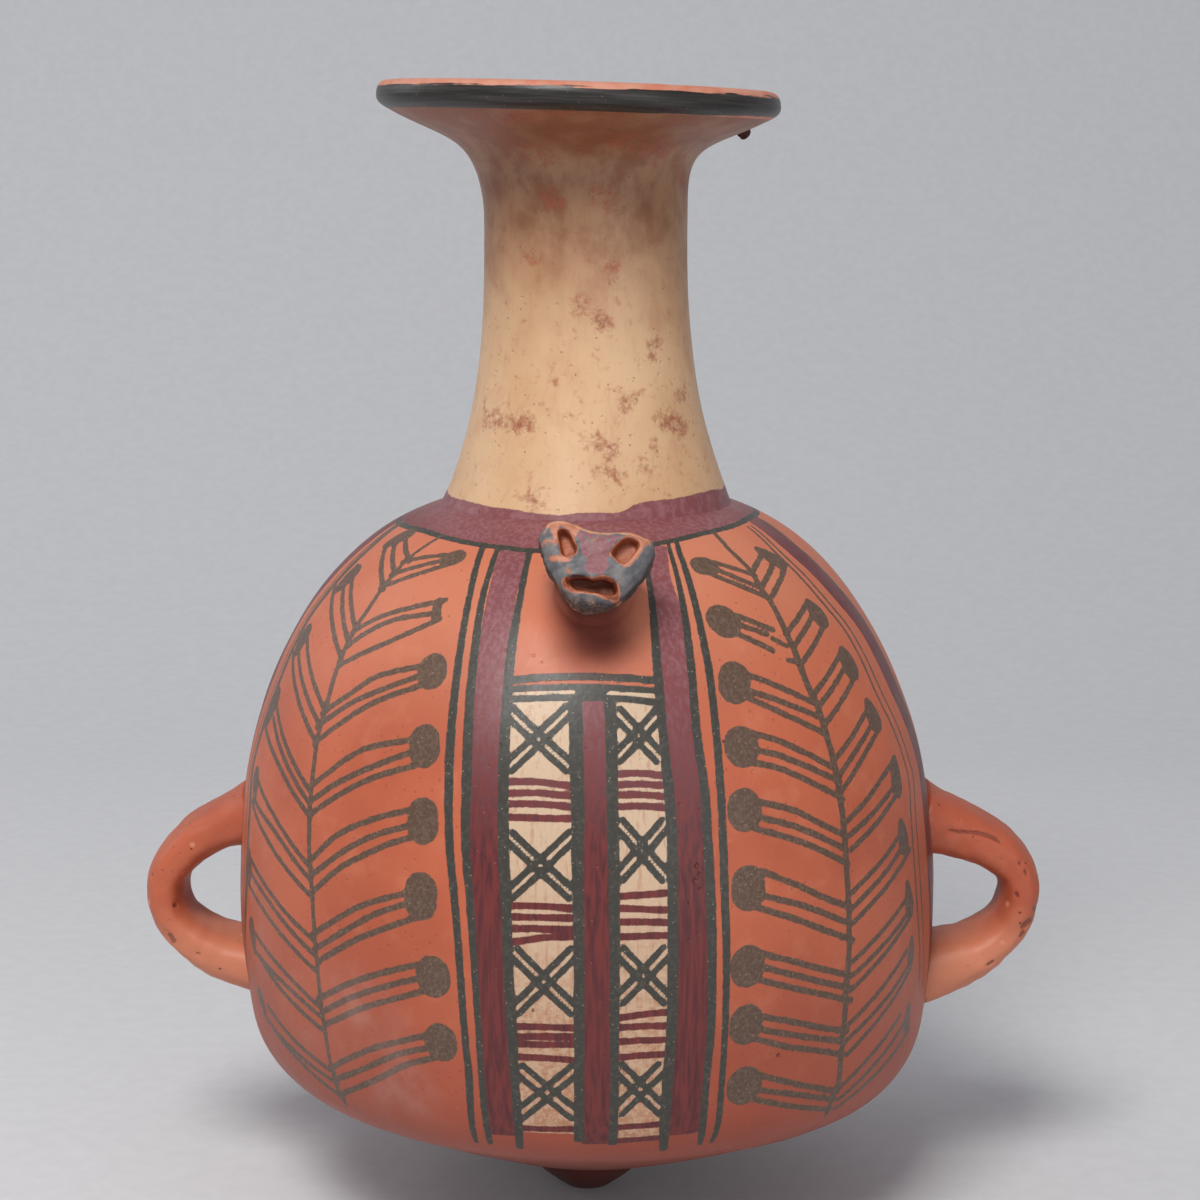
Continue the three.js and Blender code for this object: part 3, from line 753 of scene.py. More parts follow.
# Stains in the neck's slip
stains = [stroke(line, wide) for line, wide in (
    ([(532, 255), (535, 262)], 3.4), ([(611, 262), (614, 278)], 2.6),
    ([(598, 186), (612, 204)], 6.0), ([(548, 192), (552, 197)], 4.5),
    ([(578, 303), (584, 308)], 3.0), ([(600, 318), (606, 326)], 3.6),
    ([(655, 344), (651, 356)], 2.6), ([(634, 396), (624, 408)], 2.6),
    ([(664, 418), (684, 428)], 4.8), ([(684, 392), (679, 400)], 1.8),
    ([(655, 448), (656, 450)], 2.2), ([(642, 466), (652, 470)], 2.4),
    ([(592, 440), (612, 452)], 3.4), ([(488, 417), (528, 424)], 4.2),
    ([(529, 499), (536, 501)], 3.0), ([(684, 160), (687, 182)], 4.4),
    ([(480, 180), (482, 230)], 3.0), ([(600, 470), (620, 478)], 3.0),
    ([(505, 118), (560, 114)], 4.5), ([(618, 140), (664, 150)], 6.0),
    ([(535, 150), (548, 158)], 6.0))]

# The collar round the foot of the neck, as pixels along its lower and its upper edge. A black
# line follows its lower edge, and its dark red goes on a little way under the neck's cream
COLLAR_LINE_DROP = 0.8
COLLAR_LINE_HALF = 0.9
COLLAR_OVERLAP = 1.2
COLLAR_LOW_PIXELS = [
    (405, 520), (430, 529), (480, 542), (530, 548), (585, 551), (660, 541), (700, 532), (745, 517)
]
COLLAR_HIGH_PIXELS = [
    (447, 497), (470, 506), (500, 514), (530, 518), (560, 520), (590, 518), (620, 516), (635, 509),
    (665, 504), (695, 499), (722, 493)
]


def azimuth(places):
    return np.degrees(np.arctan2(places[..., 0], -places[..., 1]))


def border(pixels):
    """How far up the outline a painted edge lies, all the way round."""
    places = np.array([on_wall(*pixel) for pixel in pixels])
    around, run = azimuth(places), run_at(places[:, 2])
    mean = (run[0] + run[-1]) / 2
    around = np.concatenate([[-180], around, [180]])
    return around, np.concatenate([[mean], run, [mean]])


collar_low = border(COLLAR_LOW_PIXELS)
collar_high = border(COLLAR_HIGH_PIXELS)


def within_reach(distance):
    return np.clip(distance, -REACH, REACH)


def paint(piece):
    places = places_of(piece)
    run = run_at(places[:, 2])
    around = azimuth(places)
    flat = np.hypot(places[:, 0], places[:, 1])
    wall = radius_at(places[:, 2])
    off_wall = within_reach(np.abs(wall - flat) - PAINT_DEPTH)
    places[:, :2] *= (wall / np.maximum(flat, 1e-6))[:, None]
    low = np.interp(around, *collar_low)
    high = np.interp(around, *collar_high)
    wobble = 0.35 * waves(places, 8, 14)
    under = within_reach(run - low)

    def coat(name, strokes, round_the_jar=REACH):
        drawn = np.minimum(np.maximum(nearest(places, strokes), under), within_reach(round_the_jar))
        keep(piece, name, np.maximum(drawn, off_wall))

    coat("cream", cream, high - run + wobble)
    coat("maroon", maroon, np.maximum(low - run, run - high - COLLAR_OVERLAP - wobble))
    coat("black", black, np.abs(run - low + COLLAR_LINE_DROP) - COLLAR_LINE_HALF)
    coat("fern", fern_strokes)
    coat("pits", pits)
    keep(piece, "bloom", nearest(places, bloom, BLOOM_REACH))
    keep(piece, "chin_shadow", nearest(places, chin_shadow, CHIN_SHADOW_REACH))
    keep(piece, "stain", np.maximum(nearest(places, stains), off_wall))


# Finishes
def sums(operation, swapped=False):
    """What a sign does with a shader value on its left, or on its right where swapped."""
    def work(self, other):
        return self.finish.sum(operation, *((other, self) if swapped else (self, other)))
    return work


class Value:
    """A shader socket that takes part in sums."""

    def __init__(self, finish, socket):
        self.finish = finish
        self.socket = socket

    __add__, __radd__ = sums("ADD"), sums("ADD", swapped=True)
    __sub__, __rsub__ = sums("SUBTRACT"), sums("SUBTRACT", swapped=True)
    __mul__, __rmul__ = sums("MULTIPLY"), sums("MULTIPLY", swapped=True)


def shade(tone):
    """A screen colour, 0 to 255, as the shader wants it. A shader value stays as it is."""
    if isinstance(tone, Value):
        return tone
    parts = [part / 255 for part in tone]
    return (*(part / 12.92 if part <= 0.04045 else ((part + 0.055) / 1.055) ** 2.4
              for part in parts), 1)


class Finish:
    """A material that is built from the clay outwards."""

    def __init__(self, name):
        self.material = bpy.data.materials.new(name)
        self.material.use_nodes = True
        self.tree = self.material.node_tree
        self.tree.nodes.clear()
        here = self.node("ShaderNodeTexCoord", give="Object")
        self.here = self.node("ShaderNodeVectorMath", {"operation": "SCALE"},
                              {0: here, "Scale": 1 / MM})

    def node(self, kind, settings=None, sockets=None, give=0):
        made = self.tree.nodes.new(kind)
        for name, setting in (settings or {}).items():
            setattr(made, name, setting)
        for name, value in (sockets or {}).items():
            if isinstance(value, Value):
                self.tree.links.new(value.socket, made.inputs[name])
            else:
                made.inputs[name].default_value = value
        return Value(self, made.outputs[give])

    def sum(self, operation, *terms):
        return self.node("ShaderNodeMath", {"operation": operation}, dict(enumerate(terms)))

    def step(self, value, low, high):
        """Rises from 0 to 1 between low and high, or falls where low is the greater."""
        rising = low < high
        return self.node("ShaderNodeMapRange", {"interpolation_type": "SMOOTHSTEP"}, {
            "Value": value, "From Min": min(low, high), "From Max": max(low, high),
            "To Min": 0 if rising else 1, "To Max": 1 if rising else 0})

    def along(self, axis):
        return self.node("ShaderNodeSeparateXYZ", {}, {0: self.here}, give=axis)

    def moved(self, scale, shift):
        return self.node("ShaderNodeVectorMath", {"operation": "MULTIPLY_ADD"},
                         {0: self.here, 1: scale, 2: shift})

    def grain(self, size, stretch=(1, 1, 1), shift=0, detail=3, rough=0.55):
        """Noise about 0.5 whose features are about this many millimetres across."""
        scale = [1 / (size * length) for length in stretch]
        there = self.moved(scale, (shift, shift * 0.7, -shift))
        return self.node("ShaderNodeTexNoise", {}, {
            "Vector": there, "Scale": 1, "Detail": detail, "Roughness": rough})

    def specks(self, size, share, shift=0):
        """Small spots, 1 inside, in about this share of their cells."""
        there = self.moved([1 / size] * 3, (shift, shift, shift))
        far = self.node("ShaderNodeTexVoronoi", {}, {"Vector": there, "Scale": 1})
        return self.step(far, share, share * 0.5)

    def layer(self, name):
        return self.node("ShaderNodeAttribute", {"attribute_name": name}, give="Fac")

    def lay(self, base, *coats):
        """Lays coats over a base. Each is how much of it shows, from 0 to 1, and its colour."""
        for share, tone in coats:
            base = self.node("ShaderNodeMix", {"data_type": "RGBA"},
                             {0: share, 6: shade(base), 7: shade(tone)}, give=2)
        return base

    def done(self, tone, roughness, relief):
        normal = self.node("ShaderNodeBump", {}, {"Strength": 1, "Distance": MM, "Height": relief})
        surface = self.node("ShaderNodeBsdfPrincipled", {}, {
            "Base Color": tone, "Roughness": roughness, "Normal": normal,
            "Specular IOR Level": 0.4})
        end = self.tree.nodes.new("ShaderNodeOutputMaterial")
        self.tree.links.new(surface.socket, end.inputs["Surface"])
        return self.material


# Colours, as a screen shows them
ORANGE = (190, 98, 67)
ORANGE_DEEP = (168, 80, 54)
ORANGE_PALE = (206, 126, 94)
SHADED_ORANGE = (142, 64, 48)
LIT_ORANGE = (212, 136, 104)
DARK_SPECK = (128, 62, 44)
PALE_SPECK = (222, 164, 134)
PIT_AND_SHADE_BROWN = (92, 44, 34)
BLOOM = (172, 140, 134)
CHIN_SHADOW_BROWN = (92, 32, 20)
LOW_SHADE_BROWN = (72, 36, 30)
CREAM = (203, 162, 122)
CREAM_PALE = (213, 175, 136)
CREAM_STAIN_AND_SHADE = (114, 62, 38)
CREAM_STAIN = (172, 108, 76)
CREAM_DARK = (170, 112, 80)
CREAM_GRAIN = (186, 136, 96)
PANEL_CREAM = (204, 176, 148)
FLARE_SHADE_BROWN = (128, 66, 42)
NECK_RUST = (158, 84, 56)
NECK_DUST = (128, 72, 52)
NECK_SPECK = (118, 74, 52)
MAROON = (112, 46, 44)
MAROON_DEEP = (80, 36, 40)
PLUM_SHEEN = (148, 94, 99)
BLACK = (60, 57, 51)
BLACK_PALE = (88, 84, 78)
BROWN_BLACK = (82, 66, 54)
BROWN_BLACK_PALE = (112, 94, 80)
FLECK = (168, 142, 120)
LIP_CLAY = (196, 136, 114)
LIP_ORANGE = (190, 112, 86)
LIP_BLACK = (37, 35, 32)
LIP_GREY = (60, 55, 52)
LIP_CHIP = (176, 112, 84)
BARE_CLAY = (196, 126, 96)
BARE_CLAY_DEEP = (168, 108, 80)
SLOT_EDGE = (170, 92, 56)
SLOT_WALL_SHADE = (112, 54, 32)
SLOT_FLOOR_SHADE = (70, 32, 22)
CHEEK = (84, 84, 88)
CHEEK_PALE = (112, 110, 110)
CHEEK_DUST = (140, 128, 118)
CHEEK_DARK = (46, 45, 45)
CHIN_CLAY = (168, 116, 94)
NOSE = (132, 82, 88)
NOSE_PALE = (150, 100, 104)
HEAD_RIM = (216, 150, 116)
NUB_SHADE_BROWN = (84, 50, 34)
NUB_BLACK = (40, 28, 24)
BACKDROP = (214, 214, 216)
BACKDROP_DEEP = (210, 210, 212)


def clay_ground(finish):
    """Burnished orange clay: its colour, roughness and relief."""
    step, grain, specks = finish.step, finish.grain, finish.specks
    slow = grain(40, shift=3, detail=2)
    middle = grain(8, shift=9, detail=4)
    fine = grain(1.1, shift=2, rough=0.7)
    rubbed = grain(1.5, (1, 1, 9), shift=17, detail=2)
    height = finish.along("Z")
    tone = finish.lay(
        ORANGE,
        (step(slow, 0.35, 0.65) * 0.7, ORANGE_DEEP),
        (step(middle, 0.5, 0.75) * 0.3, ORANGE_PALE),
        (step(fine, 0.55, 0.8) * 0.3, ORANGE_DEEP),
        # Painted sheen: paler orange towards the top of the jar
        (step(height, 125, 178) * (0.25 + 0.4 * step(slow, 0.3, 0.6)), LIT_ORANGE),
        # Painted shade: darker towards the bottom of the jar
        (step(height, 100, 32) * 0.75, SHADED_ORANGE),
        # Painted shade at the foot, in the same dark brown as the pits
        (step(height, 24, 8) * 0.6, PIT_AND_SHADE_BROWN),
        (specks(3.1, 0.13, 5) * 0.5, DARK_SPECK),
        (specks(2.6, 0.09, 19) * 0.5, ORANGE_PALE))
    roughness = 0.47 + 0.2 * (middle - 0.5) + 0.12 * (fine - 0.5) + 0.1 * (rubbed - 0.5)
    relief = 0.05 * fine + 0.1 * middle + 0.03 * rubbed - 0.12 * specks(4.3, 0.12, 8)
    return tone, roughness, relief


def red_paint(finish, streak):
    """Dark red slip, with a painted sheen that makes it paler and more purple where it faces up,
    but not at the jar's sides.
    """
    step = finish.step
    aside = finish.sum("ABSOLUTE", finish.along("X"))
    plum_sheen = step(finish.along("Z"), 108, 168) * (0.42 + 0.5 * step(streak, 0.4, 0.65))
    plum_sheen = plum_sheen * (1 - 0.85 * step(aside, 32, 52))
    return finish.lay(MAROON, (step(streak, 0.35, 0.7), MAROON_DEEP), (plum_sheen, PLUM_SHEEN))


def painted_wall():
    finish = Finish("painted_clay")
    step, grain, layer = finish.step, finish.grain, finish.layer
    tone, roughness, relief = clay_ground(finish)
    ragged = 0.5 * (grain(2.4, shift=4, detail=2) - 0.5) + 0.3 * (
        grain(0.6, shift=6, detail=2) - 0.5)
    lumpy = 0.5 * (grain(1.7, shift=33, detail=1) - 0.5)
    wear = grain(1.6, shift=12, detail=4, rough=0.7)
    streak = grain(1, (1, 1, 16), shift=7)
    dry = grain(1.1, shift=15, rough=0.7)
    gritty = grain(0.9, shift=23, rough=0.75)
    middle = grain(8, shift=9, detail=4)
    height = finish.along("Z")

    def covers(distance):
        return step(distance, 0.14, -0.14)

    cream_here = covers(layer("cream") + ragged) * step(wear, 0.82, 0.72)
    maroon_here = covers(layer("maroon") + ragged) * step(wear, 0.82, 0.74)
    black_here = covers(layer("black") + ragged) * step(dry, 0.84, 0.76)
    fern_here = covers(layer("fern") + 0.6 * ragged + lumpy) * step(dry, 0.8, 0.7)
    pit_here = covers(layer("pits") + ragged)
    dark_here = finish.sum("MAXIMUM", black_here, fern_here)
    # Cream darker towards the bottom, mottled by wear: partly a stain and partly painted shade
    stained_and_shaded_low = step(height, 128, 40) * (0.35 + 0.9 * step(wear, 0.4, 0.7))
    hazy = step(layer("bloom"), 10, -6) * step(middle, 0.3, 0.7)
    # Painted shadow under the feline's chin, which also makes it rougher
    chin_shadowed = step(layer("chin_shadow") + 2 * (middle - 0.5), 5.5, -6)
    # Painted shade over the lowest part of the wall
    low_shade = step(height + 5 * (middle - 0.5), 46, 22)
    cream_tone = finish.lay(
        PANEL_CREAM,
        (step(streak, 0.5, 0.75) * 0.5, CREAM_STAIN),
        (finish.sum("MINIMUM", stained_and_shaded_low, 0.85), CREAM_DARK))
    black_tone = finish.lay(BLACK, (step(dry, 0.45, 0.75) * 0.7, BLACK_PALE))
    fern_tone = finish.lay(BROWN_BLACK, (step(gritty, 0.42, 0.66) * 0.7, BROWN_BLACK_PALE))
    tone = finish.lay(
        tone,
        (cream_here, cream_tone),
        (maroon_here, red_paint(finish, streak)),
        (black_here, black_tone),
        (fern_here * 0.96, fern_tone),
        (finish.specks(1.5, 0.15, 27) * dark_here * 0.6, FLECK),
        (hazy * 0.26, BLOOM),
        # painted shadow under the chin
        (chin_shadowed * 0.93, CHIN_SHADOW_BROWN),
        (pit_here * 0.85, PIT_AND_SHADE_BROWN),
        # painted shade low on the wall
        (low_shade * 0.5, LOW_SHADE_BROWN))
    paint_here = finish.sum("MAXIMUM", finish.sum("MAXIMUM", maroon_here, dark_here), cream_here)
    roughness = roughness - 0.05 * paint_here + 0.15 * hazy + 0.35 * chin_shadowed
    return finish.done(tone, roughness, relief + 0.03 * paint_here - 0.25 * pit_here)


def neck_slip():
    finish = Finish("cream_slip")
    step, grain, layer = finish.step, finish.grain, finish.layer
    slow = grain(30, shift=5)
    cloud = grain(9, (1, 1, 1.4), shift=11, detail=5, rough=0.6)
    fine = grain(0.8, shift=14, rough=0.7)
    small = grain(2.2, shift=25, rough=0.6)
    streak = grain(1.3, (1, 1, 14), shift=7)
    ragged = 0.8 * (grain(2.2, shift=4) - 0.5)
    height = finish.along("Z")
    near = step(layer("stain"), 2.8, -1.6)
    stained = step(small + 0.2 * near + 0.12 * (cloud - 0.5), 0.56, 0.86)
    dusty = step(fine + 0.25 * near + 0.3 * (cloud - 0.5), 0.66, 0.9)
    tone = finish.lay(
        CREAM,
        (step(slow, 0.35, 0.65), CREAM_PALE),
        (step(streak, 0.5, 0.8) * 0.16, CREAM_STAIN),
        # Upper neck darker under the flare: partly a stain and partly painted shade from the flare
        (step(height, 214, 262) * (0.62 + 0.3 * step(cloud, 0.35, 0.65)), CREAM_STAIN_AND_SHADE),
        # Painted shade on the underside of the flare
        (step(height, 266, 276) * 0.5, FLARE_SHADE_BROWN),
        (step(cloud, 0.5, 0.75) * 0.3, CREAM_STAIN),
        (stained * 0.75, NECK_RUST),
        (dusty * 0.5, NECK_DUST),
        (finish.specks(3, 0.11, 3) * 0.65, NECK_SPECK),
        (step(fine, 0.6, 0.85) * 0.25, CREAM_GRAIN),
        (step(layer("maroon") + ragged, 0.16, -0.16), red_paint(finish, small)),
        (step(layer("inside"), 0.4, 0.6), ORANGE))
    relief = 0.04 * fine + 0.1 * cloud - 0.15 * finish.specks(5.1, 0.11, 21) - 0.06 * stained
    return finish.done(tone, 0.42 + 0.2 * (cloud - 0.5) + 0.1 * (fine - 0.5), relief)


def plain_clay():
    finish = Finish("handle_clay")
    step, specks = finish.step, finish.specks
    tone, roughness, relief = clay_ground(finish)
    height = finish.along("Z")
    pits = specks(5.5, 0.07, 31)
    marked = step(finish.layer("marks") + 0.6 * (finish.grain(1.2, shift=3) - 0.5), 0.2, -0.2)
    pale = specks(6.5, 0.16, 44) * step(height, 66, 72) * step(height, 104, 98)
    tone = finish.lay(
        tone,
        # Painted shade on the upper limb of each strap
        (step(height, 90, 103) * step(height, 130, 118) * 0.5, ORANGE_DEEP),
        # Painted light on the lower limb of each strap
        (step(height, 82, 64) * 0.75, LIT_ORANGE),
        (pits * 0.7, PIT_AND_SHADE_BROWN),
        (marked * 0.6, PIT_AND_SHADE_BROWN),
        (pale * 0.45, PALE_SPECK))
    return finish.done(tone, roughness + 0.03, relief - 0.3 * pits - 0.2 * marked)


def lip_finish():
    finish = Finish("lip_band")
    step, grain, layer = finish.step, finish.grain, finish.layer
    fine = grain(0.9, shift=14, rough=0.7)
    middle = grain(6, shift=3, detail=4)
    drawn = finish.node("ShaderNodeCombineXYZ", {}, {
        "X": 0.07 * layer("around"), "Y": 1.5 * layer("level")})
    brush = finish.node("ShaderNodeTexNoise", {}, {"Vector": drawn, "Scale": 1, "Detail": 4})
    ragged = 0.4 * (grain(2.4, shift=4) - 0.5) + 2.2 * (brush - 0.5)
    band = step(layer("band") + ragged, 0.12, -0.12)
    tone = finish.lay(
        LIP_CLAY,
        (step(middle, 0.4, 0.7), LIP_ORANGE),
        (band * step(fine, 0.84, 0.72), finish.lay(LIP_BLACK, (step(brush, 0.4, 0.7), LIP_GREY))),
        (finish.specks(1.6, 0.12, 4) * band * 0.5, LIP_CHIP))
    return finish.done(tone, 0.6 - 0.24 * band, 0.05 * fine + 0.1 * middle + 0.08 * brush)


def head_finish():
    """Clay with grey cheeks and a dark red nose, bare where the slots are or the paint is worn."""
    finish = Finish("feline_paint")
    step, grain, layer = finish.step, finish.grain, finish.layer
    tone, roughness, relief = clay_ground(finish)
    ragged = 1.5 * (grain(2.2, shift=4, detail=4, rough=0.65) - 0.5)
    fine = grain(0.6, shift=14, rough=0.7)
    patch = grain(3.2, shift=31, rough=0.6)
    up, out, slot = layer("face_up"), layer("face_out"), layer("slot")
    overhung = step(slot, 1.5, 1) * step(out, 6.9, 6.2) * step(up, 0, -1.5) * step(up, -8, -6.5)
    inner = finish.sum("MAXIMUM", step(slot, 0.1, -0.3), overhung)
    bare = finish.lay(BARE_CLAY, (step(patch, 0.4, 0.65), BARE_CLAY_DEEP))
    low = step(up + 2 * (patch - 0.5), -9.6, -11.2)
    side = step(out + ragged, 6.9, 5.2)
    mottled = step(up, -7, -11) * step(fine + 0.5 * (patch - 0.5), 0.44, 0.7)
    cheek = finish.lay(
        CHEEK,
        (step(patch, 0.35, 0.65), CHEEK_PALE),
        (step(fine, 0.55, 0.8) * 0.5, CHEEK_DUST),
        (finish.sum("MAXIMUM", low, side) * 0.9, CHEEK_DARK),
        (mottled * 0.5, CHIN_CLAY))
    painted = step(slot + 0.8 * ragged, -0.05, 0.35) * (1 - overhung)
    worn = step(layer("worn") + ragged, 0.35, -0.35)
    chipped = step(patch + 0.4 * (fine - 0.5), 0.7, 0.63)
    kept = painted * (1 - 0.92 * worn) * chipped * step(out + 0.4 * ragged, 0.2, 1.2)
    nose = step(layer("forehead") + 0.5 * ragged, 0.3, -0.3) * step(slot, 0.1, 0.5)
    rim = step(layer("rim") + ragged, 0.5, 0) * step(up, 4, 6) * step(out, 5, 6.5)
    tone = finish.lay(
        tone,
        (step(slot, -0.4, 0.2) * 0.8, bare),
        (inner * 0.7, SLOT_EDGE),
        # Painted shade in the slots: darker down their walls and darkest on their floors
        (inner * step(slot + 0.6 * ragged, -1.3, -0.5) * 0.6, SLOT_WALL_SHADE),
        (inner * step(out, 6.2, 4.2) * 0.65, SLOT_FLOOR_SHADE),
        (kept, cheek),
        (nose * step(patch, 0.66, 0.58), finish.lay(NOSE, (step(fine, 0.45, 0.7), NOSE_PALE))),
        (rim * 0.85, HEAD_RIM))
    return finish.done(tone, roughness + 0.02, relief + 0.1 * fine + 0.12 * patch + 0.08 * kept)


# The courses of the jar
wall_paint = painted_wall()
slip = neck_slip()
pale_clay = plain_clay()


foot_top = FOOT_TOP[1]
spigot = ((SPIGOT_RADIUS, foot_top), (SPIGOT_RADIUS, foot_top + SPIGOT_LENGTH))
foot_line = [(0, 0), *spaced(foot_outline, 0.8), *spigot, (0, foot_top + SPIGOT_LENGTH)]
socket = SPIGOT_RADIUS + SEAM_GAP
bowl_line = [(0, SOCKET_TOP), (socket, SOCKET_TOP), (socket, foot_top),
             *stretch_of(jar_outline, foot_top, BOWL_SEAM, 0.7),
             *stretch_of(inner_outline, BOWL_INSIDE_LOW, BOWL_SEAM + SEAM_RISE, 8)[::-1],
             (socket, BOWL_FLOOR), (0, BOWL_FLOOR)]
courses = [
    turned_piece("foot_tip_clay", "foot_tip", foot_line, 180, closed=False),
    turned_piece("base_bowl_clay", "base_bowl", bowl_line, 512, 128,
                 closed=False),
    course("belly_wall_clay", "belly_wall", BOWL_SEAM, BELLY_SEAM, 0.6, 520, 96),
    course("shoulder_dome_clay", "shoulder_dome", BELLY_SEAM, NECK_BASE[1], 0.6,
           496, 96),
]
for piece in courses:
    paint(piece)
    piece.data.materials.append(wall_paint)
neck_pieces = [
    course("neck_clay", "neck", NECK_BASE[1], NECK_SEAM, 0.8, 360),
    course("mouth_flare_clay", "mouth_flare", NECK_SEAM, FLARE_TOP[1], 0.8, 360,
           inside_high=inner_outline[-1][1]),
]
for piece in neck_pieces:
    paint(piece)
    places = places_of(piece)
    depth = radius_at(places[:, 2]) - np.hypot(places[:, 0], places[:, 1])
    keep(piece, "inside", smoothstep(3, 5, depth))
    piece.data.materials.append(slip)


def lip_piece():
    outer_foot = jar_outline[-1]
    inner_foot = inner_outline[-1]
    widest = (LIP_RADIUS, FLARE_TOP[1] + LIP_DEPTH * 0.45)
    top = (LIP_RADIUS - LIP_ROUND, FLARE_TOP[1] + LIP_DEPTH)
    outline = joined(sweep(outer_foot, FLARE_ANGLE, 0.3, widest, 90, 0.4, 10),
                     sweep(widest, 90, 0.5, top, 178, 0.4, 14),
                     sweep(top, 184, 0.3, inner_foot, 235, 0.3, 12))
    piece = turned_piece("lip_coil_clay", "lip_coil", outline, 360)
    places = places_of(piece)
    flat = np.hypot(places[:, 0], places[:, 1])
    level = places[:, 2] + MOUTH_DROP * places[:, 0] / LIP_RADIUS - FLARE_TOP[1] + MOUTH_SINK
    above = level - 5.2 - 0.3 * waves(places, 17, 30)
    behind = LIP_RADIUS - LIP_ROUND - flat
    keep(piece, "band", np.clip(np.maximum(above, behind - 1), -REACH, REACH))
    keep(piece, "around", np.radians(azimuth(places)) * LIP_RADIUS)
    keep(piece, "level", level)
    piece.data.materials.append(lip_finish())


lip_piece()


def loft_along(bm, frames):
    """Carries a ring through a row of frames, and closes both ends."""
    verts, edges = bm.verts[:], bm.edges[:]
    bmesh.ops.transform(bm, matrix=frames[0], verts=verts)
    for before, after in zip(frames, frames[1:]):
        made = bmesh.ops.extrude_edge_only(bm, edges=edges)["geom"]
        verts, edges = only(BMVert, made), only(BMEdge, made)
        bmesh.ops.transform(bm, matrix=after @ before.inverted(), verts=verts)
    bmesh.ops.holes_fill(bm, edges=bm.edges, sides=0)
    bmesh.ops.recalc_face_normals(bm, faces=bm.faces)


def strap(name, node, side, reach, drop, marks):
    """A strap handle bent into a loop, smeared out where it meets the wall."""
    rise = UPPER_ROOT - LOWER_ROOT
    far = reach - STRAP_THICKNESS / 2

    def at(share_out, share_up):
        down = drop * smoothstep(0.5, 0.0, share_up)
        return (side * (BELLY[0] + far * share_out), 0, LOWER_ROOT + rise * share_up - down)

    upper = (side * (radius_at(UPPER_ROOT) - WALL / 2), 0, LOWER_ROOT + rise * 1.05 - 0.5 * drop)
    lower = (side * (radius_at(LOWER_ROOT) - WALL / 2), 0, LOWER_ROOT - rise * 0.02 - drop)
    loop = [at(out, up - give * drop) for out, up, give in STRAP_ROUTE]
    route = smooth_line([upper, *loop, lower], 1)
    ahead = np.gradient(route, axis=0)
    frames = []
    for count, (place, along) in enumerate(zip(route, ahead)):
        share = count / (len(route) - 1)
        near_upper = max(0, 1 - share / 0.22) ** 2
        near_lower = smoothstep(0.62, 1, share)
        along = Vector(along).normalized()
        across = Vector((0, 1, 0))
        out = along.cross(across)
        half_wide = STRAP_WIDTH / 2 * (1 + 0.25 * near_upper + 0.2 * near_lower)
        upper_limb = smoothstep(0.5, 0.12, share) * (0.1 + 0.09 * drop)
        half_thick = STRAP_THICKNESS / 2 * (1 + 0.5 * near_upper + upper_limb
                                            + (0.36 + 0.1 * drop) * near_lower)
        spread = Matrix((across * half_wide, out * half_thick, along)).transposed()
        frames.append(Matrix.Translation(place) @ spread.to_4x4())
    bm = bmesh.new()
    bmesh.ops.create_circle(bm, cap_ends=False, segments=80, radius=1)
    for vert in bm.verts:
        for axis in (0, 1):
            vert.co[axis] = math.copysign(abs(vert.co[axis]) ** STRAP_SQUARENESS, vert.co[axis])
    loft_along(bm, frames)
    piece = mesh_piece(name, bm, node, sharp=None)
    places = places_of(piece)
    uneven = 0.3 * waves(places, 21 + side, 16) + 0.16 * waves(places, 25 + side, 5)
    seen = places * [1, 0, 1] + [0, STRAP_FRONT, 0]
    behind = smoothstep(-8, -4, places[:, 1]) * REACH
    drawn = [(np.array([in_plane(*point, STRAP_FRONT) for point in line]),
              np.full(len(line), wide / 2), False) for line, wide in marks]
    marked = nearest(seen, drawn) + behind
    keep(piece, "marks", marked)
    uneven -= 0.45 * smoothstep(0.5, -0.5, marked)
    move_to(piece, swollen(piece, places, uneven))
    piece.data.materials.append(pale_clay)


# Grooves, pits and chips in the straps, in pixels of the photograph, with their widths
LEFT_MARKS = [([(175, 905), (176, 907)], 0.9), ([(170, 936), (173, 941)], 1.6),
              ([(198, 952), (200, 953)], 0.8)]
RIGHT_MARKS = [([(948, 830), (962, 831.5), (978, 833), (991, 836.5), (1000, 841)], 0.9),
               ([(1020, 862), (1021, 864)], 0.9), ([(1026, 871), (1027, 874)], 0.9),
               ([(1016, 893), (1017, 896)], 0.8), ([(1036, 909), (1038, 912)], 1.4),
               ([(1024, 926), (1030, 921)], 1.8), ([(1022, 936), (1024, 933)], 1.2),
               ([(988, 964), (993, 961)], 1.0)]
strap("handle_left_clay", "handle_left", -1, LEFT_REACH, LEFT_DROP, LEFT_MARKS)
strap("handle_right_clay", "handle_right", 1, RIGHT_REACH, RIGHT_DROP, RIGHT_MARKS)

# The lug: its own frame leaves the shoulder along Z, with Y up the feline's face
lug_frame = Matrix.Translation((LUG_SIDE, -float(radius_at(LUG_HEIGHT)), LUG_HEIGHT)) @ (
    Matrix.Rotation(math.radians(90 - LUG_TILT), 4, "X"))
face_frame = lug_frame @ Matrix.Rotation(math.radians(-HEAD_TILT), 4, "Z")


def through(matrix, places):
    matrix = np.array(matrix)
    return places @ matrix[:3, :3].T + matrix[:3, 3]


def fall_on_wall(places):
    """Places moved along the lug's own axis until they lie on the jar's outer face."""
    axis = np.array(lug_frame.to_3x3().col[2])
    low, high = np.full(len(places), -12.0), np.full(len(places), 12.0)
    for _ in range(24):
        middle = (low + high) / 2
        there = places + middle[:, None] * axis
        outside = np.hypot(there[:, 0], there[:, 1]) > radius_at(there[:, 2])
        high = np.where(outside, middle, high)
        low = np.where(outside, low, middle)
    return places + high[:, None] * axis


